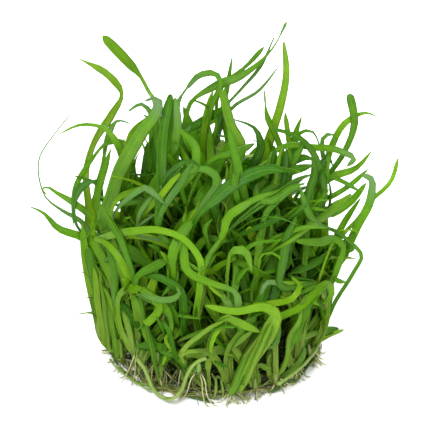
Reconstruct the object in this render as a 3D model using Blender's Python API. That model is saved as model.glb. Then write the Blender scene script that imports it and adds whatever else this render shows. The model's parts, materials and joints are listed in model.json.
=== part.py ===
"""Dwarf sagittaria: a bare clump of plantlets standing on its own flat root mat.

Units are millimetres in the tables and functions, and metres in the meshes. Z is up, the clump's foot
is round and centred on the origin, and its front looks along -Y. Each leaf is a line drawn on a front
view of the clump, tilted down by VIEW_TILT, with its depth in the clump given beside it.
"""
import math
import random

import bmesh
import bpy
from mathutils import Matrix, Vector
from mathutils.bvhtree import BVHTree

MM = 0.001
GAP = 0.3

# The foot: a flat root mat, with one ring of crowns round it and the others standing on it
MAT_RADIUS = 26.6
MAT_HEIGHT = 3.2
MAT_SIDES = 26
RIM_RADIUS = 30.2
CROWN_RADIUS = 2.0
CROWN_HEIGHT = 6.4
CROWN_SIDES = 5
FOOT_CLEARANCE = 0.4

# The body of the clump: its radius at heights above the foot
BODY = [(0.0, 29.0), (25.0, 36.0), (55.0, 38.0), (85.0, 33.0), (115.0, 26.0)]

# The front view that the leaf lines are drawn on
VIEW_TILT = math.radians(27.3)
VIEW_DISTANCE = 600.0
VIEW_AIM_HEIGHT = 45.6
UPWARD = Vector((0.0, math.sin(VIEW_TILT), math.cos(VIEW_TILT)))
TOWARD = Vector((0.0, -math.cos(VIEW_TILT), math.sin(VIEW_TILT)))
AIM = Vector((0.0, 0.0, VIEW_AIM_HEIGHT))
AIM_UP = VIEW_AIM_HEIGHT * math.cos(VIEW_TILT)

# How a leaf is pushed back to lie clear of the leaves in front of it
PUSHES = list(range(0, 34)) + list(range(-1, -15, -1))
TURNS = (0.0, 0.5, -0.5)
SHEATH = 9.0
LOWEST = 0.9
MERGE = 0.001

# How finely a leaf is stepped along its line: a bend counts as so many millimetres for each radian
SPACING = 13.5
BEND_LENGTH = 9.0
FEWEST_STEPS = 5
MOST_STEPS = 10

# Leaves that the front view doesn't show, grown by rule
FULL_CROWN = 5
FILL_TRIES = 90
FILL_SEED = 7
FILL_REACH = 4.0

# The dense part of the clump on the front view: no leaf grown by rule leaves it
DENSE = [(-3, -15), (-22, -11), (-32, -2), (-34, 7), (-37, 18), (-39, 30), (-40, 42), (-37, 51), (-30, 59),
         (-23, 67), (-15, 75), (-8, 76), (4, 73), (14, 63), (24, 64), (33, 60), (40, 50), (42, 41), (38, 28),
         (34, 17), (32, 4), (24, -8), (10, -14)]

# Crowns that show at the front of the foot (x, y); the others follow by rule
FRONT_CROWNS = [(-30.0, -5.5), (-27.8, -13.0), (-23.2, -19.8), (-16.6, -25.4), (-9.0, -28.8), (-1.2, -30.4),
                (4.9, -30.0), (11.9, -28.0), (18.2, -24.4), (24.4, -18.2), (29.2, -8.6)]
RIM_COUNT = 9
INNER_RINGS = [(19.6, 12, 0.4), (10.2, 6, 0.1)]

# Runners round the foot: (diameter, points across and up the front view, depth at each point)
RUNNERS = [
    (1.5, [(-2.5, -2.4), (-5.2, -3.4), (-7.5, -5.8), (-8.9, -9.0), (-10.2, -12.4), (-12.7, -14.5),
           (-15.6, -14.2), (-18.4, -12.0), (-19.9, -8.6), (-21.2, -5.6), (-23.4, -2.6)],
     [-33.6, -33.8, -34.0, -34.0, -33.4, -33.2, -32.8, -30.8, -29.6, -28.4, -27.6]),
    (1.4, [(31.4, 3.6), (30.6, 0.6), (28.4, -2.4), (25.4, -5.6), (22.0, -8.2), (18.6, -10.4)],
     [-6.0, -11.0, -17.0, -22.6, -26.6, -29.4]),
    (0.9, [(-31.6, -2.6), (-30.2, -4.6), (-28.0, -6.6), (-25.4, -8.6), (-22.4, -10.6), (-19.2, -12.2)],
     [-11.0, -14.6, -18.6, -22.2, -25.4, -28.6]),
]

# Leaves from front to back: (width, front depth, tip depth, end, line from the foot to the tip).
# Depth runs from -1 at the front of the clump's body to 1 at its back.
LEAVES = [
    (2.2, -0.99, -1.0, "tip", [(-1.6, 0), (-1.2, 2.5), (0, 5.2), (1.4, 8.4), (3, 9.9), (5.5, 9), (8, 7.3),
                               (10.8, 5.9), (13.6, 5.3)]),
    (3.6, -1.0, -0.97, "tip", [(6.2, -11.3), (7.8, -7.2), (10.3, -3.1), (13.6, 2.2), (16.5, 6.3), (18, 10),
                               (17.4, 12.1), (15.4, 12.8), (11.5, 12.3), (6.2, 11.5), (1, 11.9), (-3.1, 13.4)]),
    (3.0, -0.93, -0.95, "tip", [(-9.8, -1.5), (-6.9, -0.9), (-2.8, -0.6), (0, -0.4), (2.5, 0.5), (5.3, 1.9),
                                (8.2, 4), (11.6, 5.8)]),
    (1.6, -0.9, -0.93, "tip", [(-10.2, -2.3), (-9.2, 0.3), (-6.5, 2.5), (-3.2, 4.3), (0, 6.7), (2.1, 9.6),
                               (2.8, 13), (3.3, 16), (3.1, 18), (2, 17.4), (1.7, 15.3)]),
    (2.2, -0.85, -1.0, "cut", [(-13, 8), (-14.5, 12), (-16.5, 15), (-19, 16.3), (-22, 17.7), (-25.8, 20.3)]),
    (2.6, -0.85, -0.97, "cut", [(-11.5, 10), (-13.2, 13.4), (-15.2, 14.9), (-16.8, 14), (-18.2, 11),
                                (-20.3, 7.2)]),
    (2.0, -0.93, -0.93, "tip", [(-29.8, 11), (-29.6, 14), (-28.6, 16.8), (-26.3, 18), (-23.5, 17.4), (-20, 16),
                                (-16.5, 15.1), (-13, 15.3), (-11, 16.2), (-10.4, 17.5), (-11.9, 18.2)]),
    (2.2, -0.75, -0.97, "tip", [(-12, 12), (-12.3, 20), (-11.8, 28), (-10.9, 33), (-9.8, 34), (-9.2, 31),
                                (-8.9, 26.8), (-7.7, 23.8), (-5.3, 21.6), (-2, 20.7), (1.5, 19.8), (4.6, 18.4),
                                (6.8, 16.6), (7.5, 14), (6.9, 11.2)]),
    (2.3, -0.85, -1.0, "tip", [(-5.5, 8), (-4.6, 18), (-4.2, 24), (-4.8, 28), (-6.8, 31), (-9, 33), (-11.8, 35),
                               (-15.1, 35.8), (-19.2, 36), (-24.2, 35.7), (-28.7, 35), (-33.2, 33.8),
                               (-36.2, 33)]),
    (2.3, -0.85, -0.9, "tip", [(-3.5, 15), (-5, 20), (-7.3, 22.8), (-9.6, 24.5), (-11.5, 27), (-12.4, 30),
                               (-12.1, 33.8), (-10.6, 37), (-8, 39.3), (-5, 41.2), (-2.3, 43.3), (-0.3, 46.5),
                               (0.8, 50), (0.3, 53), (-1.5, 55)]),
    (2.1, -0.9, -0.95, "tip", [(2.5, 5), (3.6, 9.6), (6.2, 11.9), (10.5, 12.6), (15, 13.6), (20, 14.3), (23.8, 16),
                               (25.4, 18.3), (24.8, 20), (23, 22)]),
    (2.7, -0.9, -0.9, "tip", [(17.5, 8.5), (20, 10), (24.3, 12.2), (26.5, 14.2), (29.5, 17), (32.4, 19.6),
                              (34.4, 19.3), (35.1, 17.3), (34, 15), (32, 13.8)]),
    (1.5, -0.85, -0.97, "tip", [(33, 8), (33.8, 13), (33.5, 17.5), (31.5, 19.9), (28, 19.7), (24, 19.6), (20, 20),
                                (16.8, 20.6), (15, 19.8), (13.9, 18), (13.5, 16.2)]),
    (2.4, -0.85, -0.6, "tip", [(-24.2, 0.2), (-26.2, 3.5), (-28.3, 8.4), (-29.9, 14.2), (-32.4, 19.1),
                               (-35.7, 24), (-38.2, 28.1), (-39, 31), (-39.4, 36.4)]),
    (1.5, -0.85, -0.85, "tip", [(-29, 10), (-28.6, 16), (-29.1, 22), (-29.9, 25.3), (-32, 28.1), (-34.6, 30),
                                (-37.3, 30.8)]),
    (2.4, -0.6, -0.5, "tip", [(-31.5, 0.5), (-33.3, 4), (-35.3, 9.5), (-36.3, 14.5), (-37.6, 20), (-38.8, 27),
                              (-39.5, 33), (-39.9, 38)]),
    (2.3, -0.7, -0.6, "tip", [(-29, 0), (-30.2, 6), (-31.4, 11), (-33, 15.5), (-35, 20), (-36.6, 24),
                              (-37.6, 30)]),
    (2.2, -0.75, -0.6, "tip", [(-26.8, -1), (-28, 4), (-29, 8.5), (-30, 13), (-31, 17.5), (-33, 22), (-35.3, 27),
                               (-36.5, 33), (-36.6, 40)]),
    (1.8, -0.85, -0.9, "tip", [(-8.5, -5), (-10.8, -2.8), (-12, 0.5), (-12.7, 4), (-14.2, 7), (-16.5, 9),
                               (-18.5, 9.8)]),
    (2.0, -0.8, -0.85, "tip", [(-8.5, -5.2), (-11, -3.4), (-13.3, -1.7), (-16.2, 0.6), (-19.1, 4), (-20.9, 7)]),
    (2.6, -0.8, -0.8, "tip", [(-17.5, -3), (-18.5, 1.5), (-21, 5.5), (-24, 9.5), (-26.5, 12.5), (-28.6, 15.2)]),
    (1.7, -0.75, -0.75, "tip", [(-17, -3.5), (-18.8, 2), (-20.5, 6.5), (-21.8, 10), (-23, 13.5), (-24.5, 17),
                                (-26, 22)]),
    (2.2, -0.8, -0.85, "tip", [(-9, 5), (-9.5, 12), (-10.5, 17.5), (-12.7, 19.9), (-15.9, 21.4), (-20.1, 22.4),
                               (-23.3, 23.2)]),
    (1.6, -0.75, -0.8, "tip", [(-9.5, 24), (-10.8, 28.5), (-12.3, 30.3), (-14.3, 29), (-17, 27.2), (-19.8, 25.4),
                               (-23, 23.4)]),
    (1.8, -0.8, -0.8, "tip", [(-13, 8), (-12.4, 12), (-11, 15), (-9, 17), (-6.8, 19), (-4.8, 20.8)]),
    (2.6, -0.75, -0.9, "stalked", [(30.5, 5.1), (32.9, 8.8), (35, 12.5), (37, 16.2), (39.5, 20.3), (42, 24),
                                   (44, 27.3), (43.7, 29), (42.2, 30.5), (40, 33), (37.5, 35), (34, 36.6),
                                   (30.8, 38), (28.4, 40.5), (27, 44.3), (25.5, 48.7)]),
    (2.2, -0.75, -0.9, "tip", [(36, 22), (37.5, 28), (38.3, 31.5), (36.8, 33), (33.5, 32.7), (30, 32.4),
                               (27, 32.6), (23.9, 32.7)]),
    (1.8, -0.97, -0.92, "tip", [(21.5, -5), (21.9, -1), (22, 3), (23, 6), (24.7, 8.7), (25.8, 10.8),
                                (26.3, 12.5)]),
    (2.2, -0.9, -0.75, "tip", [(19.7, -6), (21.5, -2.5), (23.5, 0.8), (25.8, 3.6), (28.8, 7), (31, 10.2),
                               (32.5, 13), (33.3, 18)]),
    (1.5, -0.9, -0.8, "tip", [(15.5, -3), (16.8, 0.5), (18.3, 3), (18.9, 6), (18.6, 8.8), (17.5, 11.5),
                              (16, 15)]),
    (1.6, -0.75, -0.85, "tip", [(4, 15), (3.8, 24), (4.6, 28.6), (6.2, 30.3), (8, 30.2), (9.5, 28.6), (10.5, 26.3),
                                (11.2, 23.6)]),
    (1.3, -0.7, -0.8, "tip", [(6, 20), (7.5, 28), (10, 31), (13, 31.8), (16.5, 32.5), (20.4, 33.1)]),
    (0.9, -0.7, -0.8, "tip", [(12, 15), (13, 26), (15, 29.3), (17.8, 28.8), (19.8, 27.3), (20.7, 25.3),
                              (20.7, 23.3), (20, 21.4)]),
    (1.9, -0.7, -0.8, "tip", [(-5, 18), (-4, 24), (-1.8, 28.3), (0, 30), (1.6, 32.4), (3, 35), (3.8, 37.5),
                              (3.8, 39.5), (5.3, 41.2), (8, 43), (11, 44.6), (15, 46.2), (20, 47.6), (24, 49.4),
                              (27.8, 50.4)]),
    (0.8, -0.65, -0.7, "tip", [(-8, 38), (-5, 42.5), (-1.8, 44.9), (0.8, 45.1), (2.7, 44.2), (3.8, 42.5),
                               (4, 41)]),
    (3.8, -0.7, -0.7, "tip", [(-33.2, 38), (-32.4, 41.6), (-30.8, 46.6), (-29.1, 51.5), (-27, 56.4), (-24.2, 61.8),
                              (-20.9, 66.3), (-19, 69.5), (-17.7, 72), (-16.5, 74.4), (-18.2, 75.3),
                              (-21.2, 74.5)]),
    (1.8, -0.7, -0.75, "tip", [(-31, 38), (-30, 44), (-28, 46.3), (-25.5, 47.4), (-23, 48.5), (-20.5, 48.9),
                               (-18, 48), (-16, 46), (-14.3, 43.8)]),
    (3.2, -0.65, -0.6, "tip", [(-17, 40), (-15, 45.3), (-12, 47.5), (-9, 49.8), (-6.6, 53.5), (-5.4, 57.5),
                               (-6, 61), (-8, 64), (-11.3, 66.6)]),
    (1.4, -0.65, -0.7, "tip", [(-24, 40), (-21.5, 44.5), (-19, 46.5), (-16.5, 48.8), (-13.5, 51.5), (-11, 53.5)]),
    (3.0, -0.65, -0.85, "tip", [(-12, 14), (-14.5, 20), (-17, 25), (-20.5, 28.3), (-25, 30.4), (-30, 32),
                                (-35, 33.2)]),
    (2.5, -0.6, -0.6, "tip", [(-16, 30), (-15.9, 40), (-15.9, 47.4), (-15.9, 53.6), (-15.7, 59.7), (-15.5, 65.9),
                              (-15.1, 70.8), (-14.6, 73), (-13.3, 76.7)]),
    (1.8, -0.6, -0.62, "tip", [(-9, 36), (-5.5, 38.8), (-3, 38.4), (-0.8, 37), (1.2, 35.6), (2.6, 34.2)]),
    (1.4, -0.6, -0.65, "tip", [(-10, 52), (-7, 54.8), (-3.5, 53.8), (-0.5, 52.5), (1.5, 51), (3, 48.3)]),
    (2.2, -0.6, -0.65, "tip", [(0, 42), (2.5, 47), (5.5, 50), (9, 52.2), (13, 54), (17, 54.7), (21, 54.3),
                               (24, 53.2)]),
    (2.4, -0.55, -0.5, "tip", [(-5, 44), (-3, 48), (-1, 51), (0.8, 54.5), (2, 58), (3.5, 61), (4.9, 63.6)]),
    (0.8, -0.5, -0.5, "tip", [(36, 34), (38.5, 35.8), (41, 36.4), (42.5, 35.8), (43.3, 34.8), (43.4, 33.6)]),
    (0.9, -0.45, -0.5, "tip", [(34.5, 33), (36.5, 33.2), (38.3, 31.5), (39.4, 29.5), (40.5, 27.7)]),
    (2.4, -0.55, -0.5, "tip", [(31, 9), (32.6, 15), (33.5, 20.5), (34.1, 25), (35.4, 28.3), (37, 31),
                               (38.3, 34)]),
    (1.2, -0.5, -0.5, "tip", [(30.8, 16), (31.2, 20.5), (31.6, 24), (32.4, 27.5), (34, 30.4), (36, 31.4)]),
    (1.1, -0.5, -0.6, "tip", [(36, 27), (35.2, 29.8), (33.2, 30.1), (30, 29), (26.5, 27.8), (22.7, 26.8)]),
    (1.0, -0.55, -0.65, "tip", [(-26, 30), (-23.5, 36.5), (-20, 39.5), (-17, 41.3), (-14.5, 42.4)]),
    (1.0, -0.6, -0.6, "tip", [(-33, 30), (-31.5, 34.3), (-28.8, 36.3), (-26.6, 38.4), (-25.2, 40.5),
                              (-24.8, 42.5)]),
    (2.0, -0.65, -0.6, "tip", [(-25, 8), (-26.5, 17), (-27.3, 21.5), (-26.5, 25.5), (-24.8, 29)]),
    (0.8, -0.5, -0.5, "tip", [(-36, 17), (-37.2, 20.8), (-38.6, 22.6), (-40.2, 23.5), (-42.4, 23.6)]),
    (0.8, -0.7, -0.7, "tip", [(-30.5, 4), (-32.8, 10.5), (-34.9, 13.7), (-36.5, 15.4), (-38.7, 15.9)]),
    (0.8, -0.45, -0.45, "tip", [(-33.5, 8), (-36.3, 15), (-37.6, 18), (-38.1, 21), (-37.9, 24)]),
    (0.8, -0.4, -0.4, "tip", [(28.5, 1.5), (30.5, 3.9), (32.9, 4.9), (35.8, 5.8), (38.8, 6.2)]),
    (1.8, -0.6, -0.5, "tip", [(27.5, 1), (29.2, 5), (31, 8.5), (32.6, 12.3), (32.6, 16)]),
    (2.8, -0.5, -0.3, "tip", [(4.2, 44), (4.4, 50.5), (5.3, 54), (6.6, 57.3), (7.8, 60.4), (6.2, 63.8), (4.5, 68),
                              (2.9, 72.9), (2.1, 78.2)]),
    (1.8, -0.5, -0.5, "tip", [(15.5, 36), (16.3, 44), (16.6, 49), (17, 53.5), (17.2, 57), (17.9, 61)]),
    (2.0, -0.45, -0.5, "tip", [(14, 40), (18, 48), (21, 51.3), (22.6, 54.5), (22.9, 57.5), (22.2, 60.7)]),
    (1.2, -0.45, -0.4, "tip", [(-27, 50), (-27.3, 56.4), (-28.3, 58.5), (-29.5, 61.8), (-31, 64.5), (-33, 66.3),
                               (-36, 67.3), (-39, 67.6), (-42, 67.2), (-44.5, 66.5), (-47.5, 64.5)]),
    (1.5, -0.4, -0.4, "tip", [(32.5, 44), (32.1, 51.9), (31.3, 54.4), (29.6, 57.7), (28.8, 60.6), (26.3, 63),
                              (23.5, 64.9), (20.6, 65.9), (17.1, 66.5)]),
    (2.0, -0.4, -0.4, "tip", [(15, 52), (17, 58.5), (19.7, 61.2), (23, 60.7), (26.7, 61), (31.3, 60.6),
                              (35.4, 60.1), (38.7, 59.5), (41.2, 58.1), (41.6, 56.7), (40.7, 55.6),
                              (39.4, 54.9)]),
    (2.2, -0.4, -0.3, "tip", [(-27.5, 45), (-27, 55), (-26.7, 59.5), (-27.8, 62), (-30, 62.7), (-32.4, 61.9),
                              (-35.7, 58.5), (-39, 54.9), (-40.8, 52.5), (-41.8, 49), (-42.4, 45), (-42.6, 41),
                              (-42.5, 37.4)]),
    (1.8, -0.4, -0.35, "tip", [(-12, 58), (-11.5, 64), (-10.9, 68.3), (-11, 71.5), (-12, 75.8)]),
    (1.0, -0.35, -0.35, "tip", [(29.5, 50), (33.5, 52), (37, 51.3), (40, 49.8), (43.3, 47.7)]),
    (1.9, -0.35, -0.3, "tip", [(28, 45.7), (29.6, 48.6), (32.9, 51.1), (37, 52.8), (41.2, 54), (44, 56),
                               (46, 58.2), (47.6, 60.4)]),
    (1.6, -0.35, -0.3, "tip", [(-34.5, 41), (-34.8, 46), (-34, 51), (-33, 55), (-31.8, 58.5), (-31, 61)]),
    (1.5, -0.3, -0.3, "tip", [(-36, 44), (-35, 50), (-33.7, 56), (-33, 60), (-32.2, 64), (-30.8, 67), (-29, 68.9),
                              (-27.2, 69), (-25.1, 67.8)]),
    (1.5, -0.3, -0.3, "tip", [(30, 43), (33, 45), (37, 47), (40, 49), (42, 50.8), (44, 52.8), (46.4, 54.7)]),
    (2.8, -0.3, -0.3, "tip", [(38.5, 28), (40, 31.5), (41.5, 34.8), (43.2, 38), (45, 42), (46.6, 45.5),
                              (47.4, 48.5), (47, 51), (45.6, 52.5), (43.8, 52.5)]),
    (2.2, -0.3, -0.2, "tip", [(9.5, 48), (10.3, 53.5), (12, 56.3), (13.4, 59), (13.8, 62), (13, 65), (11.5, 66.8),
                              (8.5, 68.2), (4.3, 69.7)]),
    (1.8, -0.3, -0.25, "tip", [(-14.2, 50), (-14.2, 57), (-13.5, 62), (-13, 67), (-12.8, 71), (-12.6, 73.5)]),
    (1.4, -0.3, -0.3, "tip", [(-17, 58), (-17.8, 66), (-18.7, 70), (-20, 72.7), (-22, 73.7), (-24, 73.3),
                              (-26.3, 71.5)]),
    (2.8, -0.25, -0.3, "tip", [(31, 39), (34.5, 40.8), (38, 42.8), (41.5, 45), (44, 48), (45.6, 50.4)]),
    (2.2, -0.2, -0.2, "tip", [(34, 30), (36.5, 34.5), (39, 38.8), (41.2, 42.3), (43.8, 45.8)]),
    (1.4, -0.2, -0.2, "tip", [(-24.5, 52), (-25.4, 60), (-24.8, 65), (-22.5, 68), (-20, 70)]),
    (1.0, -0.2, -0.2, "tip", [(-19, 60), (-19.6, 68), (-20.4, 70.2), (-21.6, 70.7)]),
    (2.6, -0.2, -0.2, "stalk tip", [(-35, 25), (-36.5, 31), (-39.8, 33.6), (-43, 35), (-46.8, 36.4), (-49.3, 38),
                                    (-51.5, 41), (-53.4, 42.7), (-55.6, 43.1)]),
    (2.0, -0.15, -0.1, "tip", [(-41.5, 38), (-42, 44.5), (-40.3, 48.6), (-37.8, 50.6), (-35, 51.2)]),
    (0.9, -0.15, -0.15, "tip", [(-33, 44), (-34.2, 48.5), (-36.8, 50.6), (-39.5, 51.8), (-42.3, 52.3)]),
    (0.8, -0.4, -0.4, "tip", [(-33, 39), (-36.5, 36), (-39, 33.5), (-41.1, 31.4)]),
    (1.4, -0.1, -0.15, "tip", [(-35, 37), (-38.2, 41.6), (-41.5, 43.7), (-45.2, 45.7), (-48, 47.6), (-49.8, 49),
                               (-51.3, 49.1), (-51.8, 48), (-50.3, 46.5)]),
    (2.2, 0.0, 0.0, "thread tip", [(-37, 34), (-40, 38.6), (-43.1, 40.6), (-46, 42), (-48.9, 43.7), (-50.9, 46.1),
                                   (-51.9, 48.2), (-52.6, 51.1), (-53, 54.8), (-52.6, 57.7), (-50.9, 61.4),
                                   (-47, 66), (-43.8, 69.5), (-42.5, 71.7)]),
    (1.2, -0.15, -0.15, "cut", [(-24.5, 54), (-25.8, 59), (-26.8, 62), (-27.6, 63.8)]),
    (1.4, -0.1, -0.1, "tip", [(-21.8, 44), (-21.6, 52), (-21.6, 57), (-20.3, 62.4)]),
    (0.7, -0.1, 0.0, "tip", [(-10.5, 66), (-11.6, 73), (-10.5, 76.3), (-7.5, 78.6), (-5.8, 80.6), (-4.9, 82.2)]),
    (1.7, -0.1, 0.0, "tip", [(44, 41), (46, 44.3), (48.2, 45.7), (50.6, 47.8), (53.1, 51.1), (54.7, 54.8),
                             (55.1, 58.1)]),
    (1.5, 0.0, 0.1, "tip", [(-3.5, 60), (-1.8, 68), (-0.8, 74), (0.3, 78.5), (1.6, 81.3), (0, 83), (-2.5, 83.2),
                            (-5, 82.2), (-7.5, 80.2), (-8.7, 78.3)]),
    (0.9, 0.0, 0.0, "tip", [(23.5, 58), (24.2, 62), (25, 64.6), (26.4, 65.9), (28, 66.1), (29.8, 65), (31, 63),
                            (31.6, 61)]),
    (1.5, 0.0, 0.0, "tip", [(32, 54), (32.2, 60), (32.4, 63), (33.4, 64.6), (34.8, 64.8), (36, 63), (36.4, 61.5)]),
    (1.1, 0.0, 0.0, "tip", [(20.5, 56), (18.8, 63), (17.3, 67.1), (15.8, 69.8), (14.9, 72), (14.3, 74.5),
                            (14.8, 78.4)]),
    (2.6, 0.1, 0.3, "tip", [(-8.9, 64), (-8.6, 71), (-7.5, 73.8), (-4.5, 76.6), (-1.5, 78.6), (3, 79.5),
                            (7, 81.6), (11, 84.2), (14, 86.5), (16.5, 89.5), (19.5, 93), (21, 96.2),
                            (21.6, 98.6)]),
    (2.7, 0.1, 0.1, "tip", [(-37.5, 35), (-37.8, 43), (-38.3, 50), (-38.6, 55.6), (-38, 59.3), (-35.7, 63),
                            (-32.5, 68), (-30.5, 71.3), (-28.6, 74.5), (-27.8, 77), (-28.3, 78.8), (-30.5, 81.2),
                            (-34, 84.2), (-37.5, 86.2), (-41.6, 87.9)]),
    (3.2, 0.1, 0.2, "tip", [(-17, 60), (-17.5, 70), (-18.2, 74), (-19.5, 76.3), (-20.8, 78.5), (-22, 81),
                            (-24.5, 84.3), (-27.5, 87.5), (-31, 91), (-33.8, 94.3)]),
    (2.1, 0.1, 0.1, "tip", [(32, 46), (34.5, 53), (36.5, 55.7), (38.7, 59), (40, 62), (41.2, 65), (42, 68.5),
                            (41.9, 71.5), (41.2, 74.3), (40.4, 77)]),
    (2.3, 0.1, 0.2, "tip", [(13, 50), (14.4, 57.7), (15.6, 61.4), (16.9, 64.7), (18.1, 68), (19.5, 73),
                            (20.7, 78), (21.4, 84), (21.4, 89), (20.6, 92.6)]),
    (1.5, 0.1, 0.1, "tip", [(21.8, 54), (22, 60), (22.2, 66), (21.9, 69), (21, 71.6)]),
    (1.3, 0.15, 0.15, "tip", [(22.8, 56), (23.4, 62), (23.9, 65.5), (24.9, 68), (26.1, 70.3)]),
    (1.6, 0.2, 0.2, "tip", [(31, 48), (33.5, 57), (34.8, 60.8), (36.2, 64), (38.2, 67.2), (40.6, 69.6),
                            (43.2, 70.9), (46, 71.3), (48, 70.8), (49.7, 69.5)]),
    (1.3, 0.2, 0.3, "tip", [(0, 64), (2.5, 72), (5, 75.7), (8, 78.3), (11, 81.8), (13.5, 84.8), (15.6, 89),
                            (17.9, 94.2)]),
    (0.9, 0.25, 0.3, "tip", [(1, 64), (4.3, 71.7), (7, 73.7), (11, 76.2), (14, 78.6), (17, 82), (19.4, 85.4)]),
    (0.9, 0.3, 0.3, "tip", [(2.5, 70), (3.4, 78), (4.4, 83), (5.2, 88.3)]),
    (1.2, 0.35, 0.4, "tip", [(1, 74), (3.5, 80.6), (7.5, 83.8), (10.5, 85.8), (13, 88), (14.8, 91)]),
]

# Width along a leaf from its foot (0) to its end (1), as a share of its full width
PROFILES = {
    "tip": [(0.0, 0.55), (0.25, 0.72), (0.5, 1.0), (0.75, 0.95), (0.9, 0.6), (1.0, 0.2)],
    "cut": [(0.0, 0.55), (0.25, 0.75), (0.5, 1.0), (1.0, 0.95)],
    "stalked": [(0.0, 0.6), (0.55, 0.45), (0.62, 0.7), (0.72, 1.0), (0.88, 0.8), (1.0, 0.2)],
    "stalk tip": [(0.0, 0.6), (0.35, 0.8), (0.6, 1.0), (0.76, 0.4), (1.0, 0.2)],
    "thread tip": [(0.0, 0.7), (0.3, 1.0), (0.45, 0.7), (0.6, 0.35), (1.0, 0.2)],
}


def clear_scene():
    """Remove what the file opened with."""
    for thing in list(bpy.data.objects):
        bpy.data.objects.remove(thing)


def plain_material(name, colour, roughness):
    """One plain finish: colour and roughness of wet leaf, crown or root."""
    material = bpy.data.materials.new(name)
    material.use_nodes = True
    shader = material.node_tree.nodes["Principled BSDF"]
    shader.inputs["Base Color"].default_value = (*colour, 1.0)
    shader.inputs["Roughness"].default_value = roughness
    shader.inputs["Metallic"].default_value = 0.0
    return material


def stepped(table, place):
    """Read a list of (place, value) pairs at a place between them."""
    for (a, low), (b, high) in zip(table, table[1:]):
        if place <= b:
            share = max(0.0, (place - a) / (b - a))
            return low + (high - low) * share
    return table[-1][1]


def body_depth(x, z):
    """Half the clump's depth at a distance x from its middle and a height z."""
    radius = stepped(BODY, z)
    return math.sqrt(max(radius * radius - x * x, (0.35 * radius) ** 2))


def seen(across, up, back):
    """The point of the clump that the front view shows at (across, up), at depth y = back."""
    rise = up - AIM_UP
    nearer = (rise * math.sin(VIEW_TILT) - back) / (
        math.cos(VIEW_TILT) + rise * math.sin(VIEW_TILT) / VIEW_DISTANCE)
    share = 1.0 - nearer / VIEW_DISTANCE
    return AIM + TOWARD * nearer + (Vector((across, 0.0, 0.0)) + UPWARD * rise) * share


def on_view(point):
    """Where the front view shows a point: (across, up)."""
    offset = point - AIM
    share = 1.0 - offset.dot(TOWARD) / VIEW_DISTANCE
    return offset.x / share, offset.dot(UPWARD) / share + AIM_UP


def placed(across, up, depth, push):
    """A point of a leaf: at its depth in the clump's body, pushed back, and never in the floor."""
    back = 0.0
    for _ in range(4):
        point = seen(across, up, back)
        back = depth * body_depth(point.x, point.z) + push
    point = seen(across, up, back)
    if point.z < LOWEST:
        for _ in range(4):
            back += (point.z - LOWEST) * math.cos(VIEW_TILT) / math.sin(VIEW_TILT)
            point = seen(across, up, back)
    return point


def smooth_line(points, per_span=8):
    """A smooth curve through the points, as a fine list of points."""
    padded = [points[0] * 2 - points[1]] + points + [points[-1] * 2 - points[-2]]
    line = []
    for before, start, end, after in zip(padded, padded[1:], padded[2:], padded[3:]):
        for step in range(per_span):
            t = step / per_span
            line.append(0.5 * (2 * start + (end - before) * t
                               + (2 * before - 5 * start + 4 * end - after) * t * t
                               + (3 * start - before - 3 * end + after) * t ** 3))
    line.append(points[-1].copy())
    return line


def stations(line):
    """Pick places along a fine line, closer where it bends: (point, direction, share of length)."""
    cost = [0.0]
    length = [0.0]
    for k in range(1, len(line)):
        step = (line[k] - line[k - 1]).length
        turn = 0.0
        if 1 < k and step > 1e-6:
            earlier = line[k - 1] - line[k - 2]
            if earlier.length > 1e-6:
                turn = earlier.angle(line[k] - line[k - 1])
        length.append(length[-1] + step)
        cost.append(cost[-1] + (step + turn * BEND_LENGTH) / SPACING)
    count = max(FEWEST_STEPS, min(MOST_STEPS, round(cost[-1])))
    picked = []
    k = 0
    for index in range(count + 1):
        target = cost[-1] * index / count
        while k < len(cost) - 2 and cost[k + 1] < target:
            k += 1
        share = (target - cost[k]) / max(cost[k + 1] - cost[k], 1e-9)
        point = line[k].lerp(line[k + 1], min(1.0, max(0.0, share)))
        low, high = max(0, k - 2), min(len(line) - 1, k + 3)
        direction = (line[high] - line[low]).normalized()
        picked.append((point, direction, (length[k] + share * (length[k + 1] - length[k])) / length[-1]))
    return picked


def sections(picked, width, end, facing, turn, grow=0.0):
    """The three-cornered sections of a leaf: a flat upper face over a keel, and its end point."""
    rings = []
    across = None
    for point, direction, share in picked[:-1]:
        fresh = direction.cross(facing)
        if across is None:
            across = fresh if fresh.length > 0.15 else direction.cross(Vector((0.0, 0.0, 1.0)))
        else:
            carried = across - direction * across.dot(direction)
            if fresh.dot(carried) < 0.0:
                fresh = -fresh
            across = carried.normalized() * 0.35 + fresh
        across = (across - direction * across.dot(direction)).normalized()
        turned = Matrix.Rotation(turn * (0.3 + 0.9 * share), 3, direction) @ across
        upper = turned.cross(direction).normalized()
        wide = width * stepped(PROFILES[end], share) + 2.0 * grow
        deep = 0.3 * width * stepped(PROFILES[end], share) + 0.35 + grow
        middle = point + upper * (0.3 * deep + 0.5 * grow)
        rings.append((middle - turned * wide / 2, middle + turned * wide / 2, middle - upper * deep))
    last = picked[-1][0]
    if end == "cut":
        last = picked[-2][0].lerp(last, 0.5)
    return rings, last + picked[-1][1] * grow


def test_tree(rings, end_point):
    """A search tree over a leaf's outer faces."""
    corners = [corner for ring in rings for corner in ring] + [end_point]
    faces = []
    for k in range(len(rings) - 1):
        a, b = 3 * k, 3 * k + 3
        for i in range(3):
            j = (i + 1) % 3
            faces.append((a + i, a + j, b + j, b + i))
    top = 3 * (len(rings) - 1)
    for i in range(3):
        faces.append((top + i, top + (i + 1) % 3, len(corners) - 1))
    return BVHTree.FromPolygons(corners, faces)


def box_of(rings, end_point):
    """Lowest and highest corners of a leaf, for a quick first test."""
    corners = [corner for ring in rings for corner in ring] + [end_point]
    low = Vector(min(c[i] for c in corners) for i in range(3))
    high = Vector(max(c[i] for c in corners) for i in range(3))
    return low, high


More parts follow.
